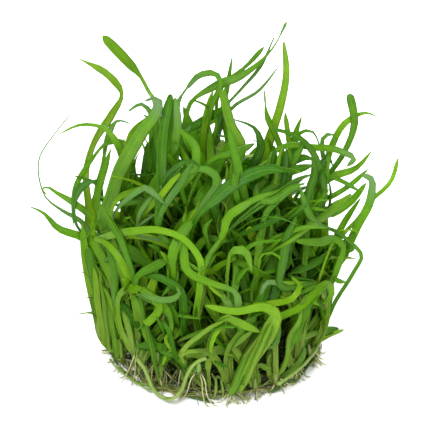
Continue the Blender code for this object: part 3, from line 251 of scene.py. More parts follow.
# Leaves told by where the front view shows their tips: (across, up), and the look of each. A blade holds the
# width at each distance from the tip
NAMED_LOOKS = [
    (13.6, 5.3, green(0.68, 0.5, bleach=0.3, blade=[(0, 0), (1.5, 1.4), (4, 2.4), (8, 2.8), (11, 2.2), (14, 1.6),
        (60, 1.6)])),
    (-3.1, 13.4, green(0.74, 0.4, blade=[(0, 0), (1.8, 1.4), (5, 2.1), (9, 2.2), (13, 2.3), (17, 2.6), (21, 3.2),
        (24, 4.2), (28, 4.6), (34, 4.6), (40, 4.4), (46, 3.6), (51, 2.6), (60, 2.4)])),
    (11.6, 5.8, green(0.62, 0.6, bleach=0.55, frost=0.15, blade=[(0, 0), (1.5, 1.2), (4, 2), (8, 2.6), (18, 2.6),
        (24, 2.2), (30, 1.6), (39, 1.4)])),
    (-22.2, 18.2, green(0.62, 0.5, blade=[(0, 2), (0.5, 2.3), (8, 2.4), (12, 1.8), (16, 1.3), (40, 1.3)])),
    (-18.7, 10.4, green(0.5, 0.4, wide=0.8)),
    (-38.7, 15.9, green(0.34, 0.45, blade=[(0, 0.2), (2, 0.8), (5, 1.1), (22, 1.1)])),
    (-26.7, 61.2, green(0.66, 0.8, end="blunt")),
    (-11.9, 18.2, green(0.72, 0.5, tip_frost=0.5, blade=[(0, 0), (1, 1.2), (2.5, 1.9), (5, 2), (9, 1.8), (14, 2.2),
        (18, 2.2), (20, 1.8), (23, 1.5), (50, 1.6)])),
    (6.9, 11.2, green(0.68, 0.4, tip_frost=0.4, blade=[(0, 0), (0.5, 1.5), (1.5, 2.2), (4, 2.6), (6, 1.7), (8, 1.7),
        (12, 2.2), (18, 2.7), (25, 2.8), (32, 2.4), (45, 2.2), (90, 2)])),
    (-36.2, 33, green(0.74, 0.35, lift=5, blade=[(0, 0), (1, 1.2), (4, 1.7), (10, 2.2), (16, 2.5), (24, 2.4),
        (32, 2), (80, 2)])),
    (-1.5, 55, green(0.6, 0.45, tip_frost=0.4, blade=[(0, 0), (1.5, 1.4), (5, 1.9), (9, 2.6), (14, 3), (20, 3),
        (26, 2.6), (32, 2.3), (50, 2.4), (80, 2.2)])),
    (23, 22, green(0.76, 0.5, pale_to=34, blade=[(0, 0), (1.2, 1), (3, 1.6), (6, 2), (14, 2.2), (20, 1.9),
        (26, 1.7), (38, 1.5), (58, 1.3)])),
    (32, 13.8, green(0.62, 0.5, blade=[(0, 0), (1.5, 1.3), (4, 2), (9, 2.5), (16, 2.6), (50, 2)])),
    (13.5, 16.2, green(0.66, 0.5, tip_frost=0.8, blade=[(0, 0), (1.5, 1), (5, 1.5), (10, 1.8), (60, 1.6)])),
    (-39.4, 36.4, BRIGHT),
    (-18.5, 9.8, DEEP),
    (-20.9, 7, DEEP),
    (-28.6, 15.2, green(0.22, 0.35, lift=3, blade=[(0, 0), (1, 1.2), (3, 2.2), (6, 2.8), (10, 2.6), (16, 2.2),
        (22, 1.6), (50, 1.6)])),
    (-26, 22, DEEP),
    (-23.3, 23.2, green(0.26, 0.3, wide=1.25)),
    (25.5, 48.7, green(0.46, 0.4, frost=0.1, blade=[(0, 0), (1.2, 1), (4, 1.8), (8, 2.2), (12, 1.9), (15, 1.4),
        (20, 1.2), (80, 1.3)])),
    (23.9, 32.7, green(0.6, 0.45, blade=[(0, 0), (2, 1.4), (5, 2.2), (9, 2.7), (14, 2.8), (20, 2.2), (66, 1.6)])),
    (16, 15, BRIGHT),
    (11.2, 23.6, green(0.68, 0.4, frost=0.1, blade=[(0, 0), (1.5, 1), (4, 2.2), (7, 2.8), (9.5, 2.4), (12, 1.4),
        (16, 1), (60, 1.2)])),
    (27.8, 50.4, green(0.72, 0.6, tip_light=-0.2, blade=[(0, 0), (3, 0.9), (8, 1.4), (13, 1.6), (18, 2), (24, 1.8),
        (28, 1), (32, 1.6), (38, 2.1), (45, 2), (80, 1.8)])),
    (20.4, 33.1, green(0.58, 0.45, wide=1.2)),
    (33.8, 36.7, green(0.6, 0.5, wide=1.2)),
    (3.9, 41, VIVID),
    (1.7, 15.3, VIVID),
    (-31, 61, green(0.5, 0.6, blade=[(0, 0), (1, 0.4), (2.5, 0.8), (4, 1.5), (7, 2.2), (30, 2.2), (80, 2)])),
    (-35, 51.2, green(0.24, 0.2, frost=0.2, blade=[(0, 0.4), (2, 1.1), (4, 2.2), (7, 2.7), (9, 2), (11, 1),
        (64, 0.9)])),
    (-20.3, 62.4, green(0.2, 0.35, blade=[(0, 0.2), (1.5, 1), (5, 1.5), (60, 1.5)])),
    (-24.8, 42.5, green(0.7, 0.6)),
    (-4.8, 20.8, green(0.5, 0.45)),
    (39.3, 55, green(0.6, 0.6, tip_frost=0.5, blade=[(0, 0), (1.5, 1.6), (4, 1.8), (8, 2), (14, 2.1), (22, 2),
        (30, 1.6), (80, 1.6)])),
    (26.2, 12.5, green(0.6, 0.6, bleach=0.3)),
    (47.5, 60, green(0.62, 0.7, blade=[(0, 0), (2, 0.6), (4, 1.2), (7, 1.6), (10, 2.1), (14, 2.4), (24, 2.4),
        (60, 2)])),
    (-21.2, 74.5, green(0.52, 0.55, tip_frost=0.9, frost=0.12, lift=4, blade=[(0, 0), (1, 0.8), (3, 1.1), (5, 2.2),
        (8, 3), (14, 3.5), (20, 3.9), (28, 4), (35, 3.6), (50, 3.2), (93, 2.4)])),
    (-13.3, 76.7, green(0.26, 0.4, lift=3, blade=[(0, 0), (0.5, 1.2), (3, 1.8), (8, 2.4), (14, 3), (25, 3.4),
        (40, 3), (100, 2)])),
    (-11.3, 66.6, green(0.5, 0.5, blade=[(0, 0), (1, 0.8), (3, 1.8), (6, 2.6), (12, 2.6), (16, 1.7), (60, 1.4)])),
    (24, 53.2, green(0.3, 0.35, blade=[(0, 0), (3, 1.6), (8, 2.4), (13, 2.8), (20, 3.2), (28, 3), (40, 2.4),
        (90, 2)])),
    (4.9, 63.6, green(0.52, 0.45, blade=[(0, 0), (1.5, 1.8), (4, 2.8), (9, 2.9), (30, 2.4), (80, 2)])),
    (2.1, 78.2, green(0.56, 0.7, blade=[(0, 1), (0.4, 2), (1, 2.3), (4, 2.6), (10, 2.8), (18, 3), (25, 2.6),
        (87, 2)])),
    (17.9, 61, green(0.24, 0.35, blade=[(0, 0), (1, 0.9), (3, 1.4), (8, 1.8), (60, 1.8)])),
    (22.2, 60.7, green(0.36, 0.4, blade=[(0, 0), (2, 1.4), (6, 2.6), (12, 3.2), (30, 2.8), (80, 2)])),
    (4.3, 69.7, green(0.25, 0.35, blade=[(0, 0.2), (3, 0.5), (7, 0.9), (9, 1.3), (11, 2), (15, 2.5), (19, 2.3),
        (24, 1.7), (60, 1.6)])),
    (17.1, 66.5, green(0.36, 0.4, blade=[(0, 0.4), (1, 1), (5, 1.2), (9, 1.6), (13, 2), (18, 2.2), (60, 2)])),
    (-47.5, 64.5, green(0.55, 0.6, blade=[(0, 0.1), (3, 0.6), (9, 1.1), (13, 1.2), (17, 1.7), (20, 2.2), (25, 2.7),
        (35, 2.2), (90, 2)])),
    (-42.5, 37.4, green(0.5, 0.6, blade=[(0, 0), (2, 0.9), (6, 1.4), (14, 1.7), (22, 1.6), (27, 0.9), (32, 1.5),
        (36, 2.3), (50, 2.4), (80, 2.2)])),
    (43.8, 52.5, green(0.55, 0.5, tip_frost=0.8, blade=[(0, 0), (1.2, 1.6), (5, 2.2), (10, 2.7), (15, 2.7),
        (30, 2.4), (90, 2)])),
    (45.6, 50.4, green(0.62, 0.5, blade=[(0, 0), (2, 1.4), (6, 2.2), (12, 2.4), (90, 1.8)])),
    (43.8, 45.8, BRIGHT),
    (-50.3, 46.5, green(0.58, 0.7, blade=[(0, 0.3), (3, 0.7), (7, 1), (11, 1.8), (15, 2.2), (22, 2.2), (90, 2)])),
    (-55.6, 43.1, green(0.52, 0.6, blade=[(0, 0.3), (2, 0.6), (5, 1), (9, 1.8), (14, 2.4), (20, 2.5), (26, 2.3),
        (90, 2)])),
    (-41.6, 87.9, green(0.62, 0.9, bleach=0.5, blade=[(0, 0), (1.7, 0.4), (3.8, 0.9), (7.2, 2.1), (14.2, 2.2),
        (16.4, 1.7), (19, 0.9), (22.8, 1.8), (26.6, 2.2), (30, 2.3), (34, 1.9), (37, 1.7), (60, 2.2), (120, 2)])),
    (-33.8, 94.3, green(0.62, 0.9, blade=[(0, 0), (0.6, 1.5), (2, 2.6), (5, 3), (10, 3.1), (14.5, 2.5), (17.5, 1.1),
        (22, 1.1), (30, 1.5), (45, 2.6), (100, 2.2)])),
    (40.4, 77, green(0.44, 0.6, blade=[(0, 0.6), (0.5, 1.8), (1.2, 2.2), (3, 2.4), (10, 2.1), (14, 1.7), (25, 1.4),
        (90, 1.4)])),
    (20.6, 92.6, green(0.62, 0.75, bleach=0.2, blade=[(0, 0), (0.4, 0.7), (1.6, 1), (4.5, 1.5), (8, 1.8), (18, 2.2),
        (25, 2.4), (32, 2.9), (45, 2.8), (60, 2.2), (94, 1.5)])),
    (21.6, 98.6, green(0.5, 0.55, tip_frost=0.5, blade=[(0, 0), (0.8, 0.9), (2.7, 0.8), (4.2, 0.4), (5.5, 0.4),
        (9, 0.5), (12.5, 0.7), (16, 1.3), (19.8, 1.7), (24.5, 2.5), (27.8, 2.6), (32, 2), (36.5, 1.1), (42, 1.3),
        (47, 1.6), (115, 1.6)])),
    (49.7, 69.5, green(0.58, 0.7, blade=[(0, 0), (2, 0.4), (5, 0.9), (8, 1.5), (12, 2), (20, 2), (60, 1.8)])),
    (54.9, 57.9, green(0.68, 0.7, blade=[(0, 0), (1.2, 0.7), (3, 1.3), (8, 1.4), (14, 1.4), (20, 1.3), (80, 1.4)])),
    (17.9, 94.2, green(0.4, 0.4, frost=0.4, blade=[(0, 0), (0.5, 0.4), (4, 0.5), (6, 0.7), (10, 1.1), (15, 1),
        (22, 0.8), (80, 1)])),
    (19.4, 85.4, green(0.42, 0.4, frost=0.4, blade=[(0, 0.2), (5, 0.6), (10, 0.9), (20, 1), (40, 1.2), (80, 1.2)])),
    (14.8, 91, green(0.5, 0.6, blade=[(0, 0), (0.5, 0.6), (2, 1.2), (4, 1.5), (6, 1.2), (9, 1), (13, 0.8),
        (17, 0.9), (60, 1.6)])),
    (-4.9, 82.2, green(0.45, 0.4, frost=0.5, blade=[(0, 0.2), (1, 0.5), (8, 0.7), (10, 1.6), (12, 2), (15, 1.8),
        (17, 1.2), (40, 1.6)])),
    (-12, 75.8, green(0.56, 0.55, tip_frost=0.5, blade=BLUNT)),
    (-12.6, 73.5, green(0.55, 0.5, blade=STRAP)),
    (-9.6, 73.3, green(0.55, 0.5, blade=[(0, 0), (1, 0.8), (3, 1.7), (6, 2.5), (10, 3.1), (25, 3), (60, 2)])),
    (-26.3, 71.5, green(0.48, 0.55, tip_frost=0.4, blade=[(0, 0.1), (1, 0.6), (3, 0.9), (6, 1.2), (9, 1.6), (12, 2),
        (60, 2)])),
    (5.5, 70.9, green(0.42, 0.4, blade=[(0, 0.3), (2, 1.2), (5, 2.2), (12, 2.8), (20, 2.6), (60, 2)])),
    (-21.6, 70.7, green(0.45, 0.5, blade=[(0, 0), (0.6, 0.6), (3, 0.8), (6, 1.6), (12, 2.2), (60, 2)])),
    (-20, 70, green(0.58, 0.7, blade=[(0, 0), (1, 1), (4, 2), (8, 2.3), (60, 2)])),
    (1.7, 69.3, green(0.52, 0.5, blade=BLUNT)),
    (-25.1, 67.8, green(0.5, 0.65, tip_frost=0.4, blade=[(0, 0.1), (1, 0.4), (3, 0.6), (5, 0.9), (7, 1.7), (9, 2),
        (13, 1.4), (17, 1), (40, 1.2), (80, 1.6)])),
    (-8.8, 67.7, green(0.5, 0.5, blade=STRAP)),
    (3.8, 67.3, green(0.5, 0.5, blade=BLUNT)),
    (3.9, 67.1, green(0.46, 0.5, blade=STRAP)),
    (3.3, 65.3, green(0.5, 0.5, blade=STRAP)),
    (26.1, 70.3, green(0.48, 0.6, blade=[(0, 0), (1, 0.5), (3, 1.1), (5, 1.5), (8, 1.7), (60, 1.7)])),
    (31.6, 61, green(0.44, 0.5, blade=[(0, 0.2), (1, 0.5), (3, 0.5), (5, 0.7), (7, 1), (9, 1.3), (60, 1.5)])),
    (36.4, 61.5, green(0.4, 0.4, frost=0.3, blade=[(0, 0), (1, 0.9), (2.5, 0.6), (4, 0.9), (5.5, 1.4), (60, 1.5)])),
    (14.8, 78.4, green(0.48, 0.6, blade=[(0, 0), (1, 0.4), (3, 0.6), (4.5, 0.4), (6, 0.5), (7.5, 1.1), (9.5, 1.7),
        (60, 1.6)])),
    (5.2, 88.3, green(0.5, 0.6, blade=[(0, 0.1), (1.5, 0.5), (4, 0.9), (6.5, 1.2), (12, 1.6), (60, 1.6)])),
    (21, 71.6, green(0.62, 0.8, bleach=0.3, blade=[(0, 0), (1, 0.7), (3, 1.4), (6, 1.6), (60, 1.5)])),
    (-42.5, 71.7, green(0.38, 0.35, frost=0.3, blade=[(0, 0.1), (3, 0.35), (20, 0.42), (33, 0.5), (38, 0.9),
        (44, 1.5), (50, 1.8), (90, 1.6)])),
    (2.3, 62.7, green(0.5, 0.5, blade=BLUNT)),
    (15.1, 62.8, green(0.46, 0.5, blade=STRAP)),
    (-15.1, 62.8, green(0.52, 0.5, blade=BLUNT)),
    (26.3, 62.5, green(0.42, 0.45, blade=BLUNT)),
    (26.5, 62.1, green(0.32, 0.4, wide=1.2, blade=STRAP)),
    (17.8, 61.6, green(0.24, 0.35, blade=[(0, 0), (1, 0.9), (3, 1.4), (8, 1.8), (60, 1.8)])),
    (-12.9, 60.6, green(0.54, 0.5, blade=BLUNT)),
    (8.8, 60.1, green(0.48, 0.5, blade=BLUNT)),
    (12.3, 60, green(0.46, 0.5, blade=STRAP)),
    (20.8, 59.5, green(0.6, 0.5, blade=STRAP)),
    (-14.2, 58.9, green(0.54, 0.5, blade=BLUNT)),
    (11, 58.4, green(0.46, 0.5, blade=STRAP)),
    (32.4, 56.3, green(0.3, 0.4, blade=BLUNT)),
    (16.7, 55.4, green(0.36, 0.4, blade=STRAP)),
    (-21.5, 54.9, green(0.26, 0.4, blade=SPEAR)),
    (46.4, 54.7, green(0.5, 0.6, blade=[(0, 0), (2, 0.8), (5, 1.5), (20, 1.7), (60, 1.6)])),
    (43.3, 47.7, green(0.48, 0.5, blade=[(0, 0), (1, 0.8), (3, 1.3), (8, 1.4), (60, 1.8)])),
    (-42.3, 52.3, green(0.4, 0.5, blade=[(0, 0.2), (1, 0.6), (3, 0.8), (6, 1.2), (60, 1.6)])),
    (-8.7, 78.3, green(0.48, 0.5, tip_frost=0.3, blade=[(0, 0), (1, 1), (4, 1.5), (8, 1.8), (11, 1.6), (13, 1.3),
        (20, 1.5), (96, 1.3)])),
]

# Leaves drawn from the front view, past what the solids hold: how far before the nearest solid leaf each lies,
# its look, and its places from foot to tip (across, up, width)
SEEN_LEAVES = [
    (0.5, green(0.42, 0.4), [(-18, 24.5, 3), (-21.5, 27, 4), (-25.5, 29.6, 4.2), (-30, 31.6, 3), (-34, 32.4, 1)]),
    (0.5, MID, [(-23, 22.5, 1.6), (-19.5, 24.5, 2.6), (-16, 26.3, 3), (-12.4, 28.2, 1.6)]),
    (1, green(0.58, 0.4, frost=0.12), [(-6.5, 54, 1.2), (-4, 54.5, 1.3), (-1.5, 53.6, 1.6), (0.5, 52, 2.2),
        (0.7, 49.5, 2.8), (-1.5, 46, 3.3), (-4, 43, 3.3), (-6, 40, 2)]),
    (2.5, green(0.28, 0.5, end="blunt"), [(-17.2, 37, 2), (-16.6, 42, 3), (-16.1, 50, 3.2), (-16, 58, 3.2),
        (-15.3, 66, 3.1), (-14.4, 71, 2.9), (-13.6, 75, 2.5), (-13, 76.8, 1.6)]),
    (3, green(0.52, 0.3, frost=0.5), [(-24, 47, 1), (-21.3, 48.7, 1.8), (-18.3, 47, 2.2), (-15.2, 43.8, 1)]),
    (1.2, green(0.6, 0.8), [(-29, 45.2, 1), (-25.5, 47.2, 1.2), (-21.5, 48.6, 1)]),
    (1.2, green(0.42, 0.35, frost=0.25), [(-15.5, 42.5, 1), (-13, 46.5, 2.2), (-10, 51, 2.6), (-8, 54.5, 2),
        (-6.6, 56.5, 1)]),
    (2.5, green(0.3, 0.3), [(-3, 42.5, 1.5), (0, 45, 2.8), (3, 48, 3.6), (7, 50.8, 4), (11.5, 53, 3.6),
        (16, 54.2, 3), (21, 53.6, 2)]),
    (2, green(0.7, 0.35, end="blunt"), [(3, 36.8, 0.7), (3.3, 38.6, 1.2), (4.3, 40.3, 2.2), (6.5, 42, 2.6),
        (9, 43.6, 2.7), (11.2, 44.8, 2.3)]),
    (1, green(0.56, 0.6), [(-3.8, 24, 1.6), (-1.8, 28, 1.9), (0.5, 31.5, 1.7), (2.3, 34, 1.1), (3.2, 36.5, 0.6)]),
    (0.5, green(0.52, 0.4, end="blunt"), [(-12, 31, 2), (-10.5, 34, 3.4), (-8.5, 37, 3.4), (-6.7, 38.8, 2)]),
    (0.3, green(0.62, 0.6), [(24.5, 34, 1.5), (28, 37, 2), (32.5, 40, 2.6), (37, 43.5, 2.8), (41, 47, 2.4)]),
    (0.5, green(0.72, 0.8), [(-14.5, 48.5, 1.5), (-12.5, 51, 2.3), (-10.3, 53.2, 1.2)]),
    (0.5, green(0.7, 1, bleach=0.4), [(-10.5, 45.7, 1), (-12, 44.8, 3), (-13.8, 42.8, 1.5)]),
    (0.5, BRIGHT, [(-9.2, 40.5, 0.8), (-8.6, 42, 0.8), (-9.6, 43.5, 0.8), (-11, 43, 0.7), (-11.5, 41.5, 0.6)]),
    (-1.5, DUSK, [(-20, 45.3, 2), (-24, 44.5, 2.4), (-28, 43.8, 1.6), (-30, 43.4, 0.5)]),
    (-0.5, green(0.54, 0.4), [(-12.5, 31.8, 2.2), (-16, 33, 2.6), (-20, 33.9, 2), (-24, 33.6, 0.8)]),
    (0, green(0.62, 0.4, frost=0.5), [(-27.5, 30.5, 0.8), (-29.5, 28.8, 1.6), (-31.5, 27.6, 1.6),
        (-33.5, 26.5, 1.2)]),
    (0, green(0.38, 0.4, end="blunt"), [(-35, 17, 3), (-36, 22, 3.6), (-37, 27, 3.4), (-38, 31, 2)]),
    (-1, MID, [(-30, 18, 2.5), (-30, 24, 2.5), (-31.5, 29, 2), (-33, 32, 1)]),
    (-1, MID, [(-27, 30, 2), (-28.5, 34, 2.4), (-31, 38, 2), (-33, 41.5, 1)]),
    (0.5, GREY_SHEENED, [(-24, 36, 1), (-20, 39.5, 0.9), (-15, 42.3, 0.6)]),
    (1, GREY_SHEENED, [(-21.8, 42.5, 1.8), (-19, 46, 2), (-16, 49, 2), (-12, 53, 1.6), (-9.5, 56.5, 0.8)]),
    (0.5, green(0.46, 0.4, end="blunt"), [(16, 50.5, 2.5), (13.8, 49.5, 2.6), (12.4, 47.5, 2.6), (13, 45.5, 2.6),
        (16, 44.6, 2.2), (19, 45.8, 2), (22.5, 48.3, 1.8), (26, 49.8, 1.2)]),
    (-1, DUSK, [(14, 47, 2), (18, 50, 2.8), (21, 53, 3), (23.5, 57, 3), (25.5, 60, 2.4), (27, 62.5, 1)]),
    (-2, DARK, [(19.5, 20, 3), (20.3, 26, 3.2), (21, 31, 3.2), (22.3, 35.5, 3), (24.3, 39.5, 2)]),
    (0, BRIGHT, [(17, 44.5, 0.6), (18.8, 42.5, 0.7), (19.4, 40, 0.7), (18.5, 37, 0.6)]),
    (-2.5, DARK, [(19, 41, 2), (17, 42, 2.8), (13, 43, 2.8), (10, 45, 1.6)]),
    (-0.5, MID, [(4.2, 37.5, 0.8), (6.5, 35.8, 1.3), (8.2, 33.3, 1)]),
    (-3, OLIVE, [(13.2, 31, 2.2), (13.6, 34, 2.6), (14.3, 37, 2.6), (14, 40, 1.6)]),
    (-1.5, DUSK, [(22, 26, 2), (21.8, 31, 2.2), (22.8, 36, 2.6), (24.5, 40.5, 2)]),
    (1.6, green(0.52, 0.5, bleach=0.2), [(4.6, -13, 2.2), (7, -8, 3.4), (9.6, -2, 3.6), (12, 3, 3.2),
        (14, 7.5, 2.2)]),
    (1.2, green(0.62, 0.5, bleach=0.3), [(7, -12.5, 2), (9, -8, 2.8), (12, -2, 3.2), (14.5, 3, 3), (16.5, 8, 2.8)]),
    (2.2, green(0.62, 0.6, bleach=0.7), [(8.5, -11, 0.9), (11.3, -5, 1.2), (13.5, 0, 1.3), (15.5, 4.5, 1.1),
        (17.3, 8.5, 0.8)]),
    (0, green(0.6, 0.6, bleach=0.8), [(13.4, -11, 0.9), (13.3, -9, 1.1), (12.7, -5.8, 0.8)]),
    (0.5, VIVID, [(-1.3, 0.5, 1), (-0.5, 3.5, 1.4), (1, 6, 1.4), (3.6, 7.8, 0.8)]),
    (1, green(0.66, 0.6, bleach=0.3), [(-8, -6, 1.2), (-6, -4, 1.5), (-3, -2.5, 1.2)]),
    (0.5, green(0.7, 0.95, bleach=0.8), [(-2, -6, 1.2), (-2, -4.2, 2.2), (-1.6, -2.4, 1.2)]),
    (1, green(0.26, 0.1), [(0, -3.5, 0.8), (2, -4.4, 1.2), (4, -5, 0.7)]),
    (0.8, green(0.58, 0.2, frost=0.35), [(18, 9, 1.2), (19.2, 6, 1.3), (18.7, 3, 1.3), (17, 0.8, 1.3),
        (15.3, 1, 0.8)]),
    (0.6, green(0.58, 0.5, bleach=0.45), [(16, -8.8, 1.3), (19, -7.5, 1.5), (20.5, -5.5, 1.5), (21.5, -3, 1.5),
        (22, 0, 1.5), (22.3, 3.5, 1.5), (23.5, 6, 1.5), (25, 8, 1.5), (26, 12, 1.2)]),
    (0.5, green(0.46, 0.6, bleach=0.3), [(17.5, -10, 1.6), (20, -8.5, 2), (22.5, -6.5, 2), (25, -4, 2),
        (26.5, -1.5, 1.8), (27, 1, 1.4)]),
    (0.8, green(0.46, 0.9, bleach=0.4), [(13.5, -4.5, 1.4), (15.2, -5.2, 2), (16.9, -5.8, 1.6)]),
    (-3, green(0.34, 0.35, end="blunt"), [(10, 15, 3), (9, 20, 3.4), (7.5, 25, 3.2), (6, 29, 2)]),
    (-3, green(0.36, 0.35, end="blunt"), [(14, 15, 3), (15, 20, 3.5), (16.5, 25, 3), (17, 29, 2)]),
    (-3.5, DARK, [(17.5, 16, 2.6), (18.8, 20, 3), (19.5, 25, 3), (19.5, 29, 2)]),
    (-2, MID, [(5.5, 17, 2), (6.5, 22, 2.4), (5.5, 27, 2)]),
    (-1.5, DUSK, [(22, 22.5, 2), (26, 24.5, 3), (30, 26.5, 3), (34, 29, 1.6)]),
    (-3, DARK, [(28, 22, 2), (31, 25, 2.6), (33, 29, 1.5)]),
    (-1.5, MID, [(24, 3, 2), (25.5, 8, 2.4), (27.5, 12, 2.2), (29, 15, 1.5)]),
    (1.8, WASHED, [(-32, 0.5, 1.2), (-33, 3, 1.5), (-34, 8, 1.8), (-35.2, 14, 2), (-35.6, 20, 1.9),
        (-36.4, 25, 1.4)]),
    (1.6, green(0.6, 0.8, bleach=0.4), [(-31, -0.5, 1.2), (-32, 5, 1.7), (-33, 12, 2), (-33.6, 18, 2),
        (-34.6, 23, 1.6)]),
    (1.4, green(0.44, 0.85, bleach=0.1), [(-29.3, -2.5, 1.4), (-30, 2, 1.6), (-31, 8, 1.8), (-31.6, 14, 1.8),
        (-32.4, 19, 1.6)]),
    (0.8, green(0.76, 0.6), [(-25.2, -0.5, 1.2), (-26.5, 2, 1.3), (-28.3, 5, 1.4), (-29.2, 8, 1.4),
        (-30.2, 11.5, 1.4), (-31.5, 15, 1.4), (-33.5, 19, 1)]),
    (2.4, green(0.7, 0.6, bleach=0.9), [(-32.6, 1.5, 0.7), (-33.1, 4.5, 0.8), (-33.6, 7.5, 0.5)]),
    (1.8, green(0.6, 0.7, bleach=0.8), [(-28.5, -3.8, 1.6), (-28.7, -1.5, 2.6), (-28.9, 1.2, 2.2),
        (-29.2, 3.5, 1)]),
    (1.5, green(0.74, 0.5, end="cut"), [(-25, 1, 1.2), (-26.8, 3.5, 1.4), (-28, 6, 1.5), (-28.7, 9, 1.5),
        (-29.2, 13, 1.6), (-28.8, 16, 1.8), (-26.8, 18.3, 2.2), (-24.3, 18.6, 2.6), (-21, 16.9, 2.7),
        (-18.5, 15.6, 2.5), (-16.8, 13.9, 2.2), (-16.9, 11.7, 2.4), (-18.3, 9.9, 2.7), (-21, 7.5, 2.7)]),
    (2.5, green(0.62, 0.3, frost=0.35), [(-23, 17.2, 1.2), (-19.5, 15.8, 1.8), (-15.5, 15, 2), (-12, 15.6, 2),
        (-10.6, 17.3, 1.6), (-11.8, 18.6, 0.8)]),
    (0.5, green(0.34, 0.35), [(-5.5, -6.2, 1.2), (-8, -5.3, 1.5), (-10.5, -3.5, 1.7), (-12, -1.5, 1.7),
        (-12.8, 1.5, 1.7), (-13.3, 4, 1.6), (-14, 6.3, 1.6), (-15.5, 8, 1.5), (-18, 9.5, 0.9)]),
    (0.5, VIVID, [(-15.7, -4.3, 1), (-15, -2.5, 1.6), (-14.3, -0.8, 1.6), (-13.4, -1.2, 1.2), (-12.6, -2.5, 0.8)]),
    (4, green(0.66, 0.5, bleach=0.8), [(-9, -3.8, 1.2), (-10.4, -2.3, 1.3), (-10, -0.8, 1.3), (-8, 1.8, 1.4),
        (-5, 4, 1.4), (-1, 7, 1.3), (2.2, 8.6, 0.9)]),
    (4, green(0.72, 0.5, bleach=0.9), [(-10.2, -2.4, 1), (-9.6, -1.2, 1.2), (-7.8, -0.3, 1.3), (-5, -0.8, 0.9)]),
    (-1, green(0.56, 0.6, bleach=0.25), [(-20.5, 4.5, 2.2), (-21.5, 9, 2.6), (-23, 13, 2.6), (-24.5, 16.5, 2)]),
    (-1, green(0.42, 0.4), [(-10, 5, 1.6), (-9.2, 8, 1.8), (-8.5, 11, 1.6), (-7, 14.5, 1)]),
    (0, CLEAR, [(-13.3, 0, 0.9), (-14.8, 3, 1.1), (-14.3, 5, 0.9)]),
    (0, green(0.6, 0.2), [(-13, -1.5, 1.4), (-14.5, -2.5, 2), (-15.5, -4, 1)]),
    (0, MID, [(-1.5, 72.5, 1), (-5, 74.5, 0.9), (-8.7, 75.2, 0.5)]),
    (-1, green(0.62, 0.8), [(-3.2, 67, 2), (-2.5, 71, 2.2), (-1.2, 76, 1.8), (-0.5, 78, 1)]),
    (0, green(0.4, 0.4), [(-10, 65, 2), (-5, 68, 2.6), (0, 71, 2.6), (4, 73.5, 1.4)]),
    (0, green(0.7, 0.9, bleach=0.2, end="blunt"), [(-26.2, 59.5, 1.2), (-26.8, 61.5, 1.7), (-27.5, 63.4, 1.4)]),
    (-1, DARK, [(-18.3, 58, 1.6), (-18.8, 61.5, 2.2), (-18.5, 64.5, 1.6)]),
    (0, DUSK, [(-26, 53, 0.6), (-23, 52.6, 0.8), (-20, 52.5, 0.8), (-17.5, 53.2, 0.5)]),
    (-1, MID, [(-24.8, 51, 0.8), (-24.2, 55, 0.8), (-23.5, 58, 0.7), (-22, 60, 0.5)]),
    (0, MID, [(-15, 55, 1.6), (-13.5, 58, 2.2), (-11.5, 61.5, 2.2), (-9, 65, 2), (-7, 67.5, 1)]),
    (1, green(0.22, 0.35), [(-14, 53, 1.2), (-11.5, 55, 1.7), (-9.5, 56.3, 1.8), (-7, 56.6, 1.6), (-4.5, 55, 1.2)]),
    (0, green(0.56, 0.5), [(-2, 53, 2.6), (-3.5, 56, 3), (-5.5, 59, 3), (-8, 62.5, 3), (-10, 66.5, 1.6)]),
    (-1, green(0.56, 0.6), [(-1.6, 53, 2), (-1.3, 58, 2.4), (-1.5, 63, 2.4), (-1.8, 68, 2)]),
    (0.5, DARK, [(-8.5, 65.3, 0.8), (-6.5, 66.5, 1.3), (-4.5, 68, 1.4), (-2.5, 69.3, 0.8)]),
    (-2, WASHED, [(1, 58, 2), (1.5, 61, 2.4), (2.5, 63.3, 1.5)]),
    (-1, MID, [(6, 51, 2), (6.8, 55, 2.3), (7.8, 59, 2.4), (8.2, 62, 2)]),
    (-2, WASHED, [(3.4, 51, 0.8), (3.6, 54, 0.9), (3.5, 57, 0.7)]),
    (-2, WASHED, [(4.7, 51, 0.8), (4.9, 54, 0.8), (4.8, 57, 0.6)]),
    (-1, MID, [(-0.5, 64.4, 0.6), (2, 64.2, 0.7), (4.8, 63.6, 0.5)]),
    (-1, green(0.52, 0.5), [(1, 58, 1.6), (4, 58.6, 2.4), (7, 59.5, 2.4), (10, 61, 2), (12, 62, 1)]),
    (0, green(0.3, 0.4, frost=0.3), [(12.4, 62.6, 0.5), (11.3, 63.1, 0.5), (10.2, 62.9, 0.3)]),
    (-1, GREY_SHEENED, [(7.7, 56.6, 0.6), (9, 57.6, 1), (10.2, 57.9, 0.7)]),
    (-2, green(0.76, 0.9, bleach=0.2), [(12.3, 54.3, 1), (14, 55.6, 1.3), (16, 57.2, 1.3)]),
    (-1, green(0.32, 0.4), [(21, 55.5, 1.6), (24, 57, 2.6), (27, 57.8, 2.8), (29.5, 57.2, 2)]),
    (-1, green(0.36, 0.4), [(20, 52.5, 2), (23.5, 54, 2.8), (27, 54.8, 2.6), (29.5, 55.5, 1.6)]),
    (0, green(0.48, 0.4, frost=0.15), [(16, 45.8, 1), (20, 48, 1.5), (23.5, 50.4, 1.7), (27, 52, 1.4),
        (29.3, 52.7, 0.8)]),
    (0.3, DARK, [(17, 45, 1), (21, 47.4, 1.3), (24.5, 49.3, 1.2), (27, 49.7, 0.6)]),
    (0, green(0.28, 0.4), [(27.7, 45.5, 1.6), (28.6, 49, 2.4), (29.7, 52, 2.6), (29.8, 55, 2.4), (29, 58.5, 2)]),
    (-1, MID, [(33, 51.5, 2), (33.3, 55, 2.4), (34, 58, 2), (34.3, 60.5, 1.4)]),
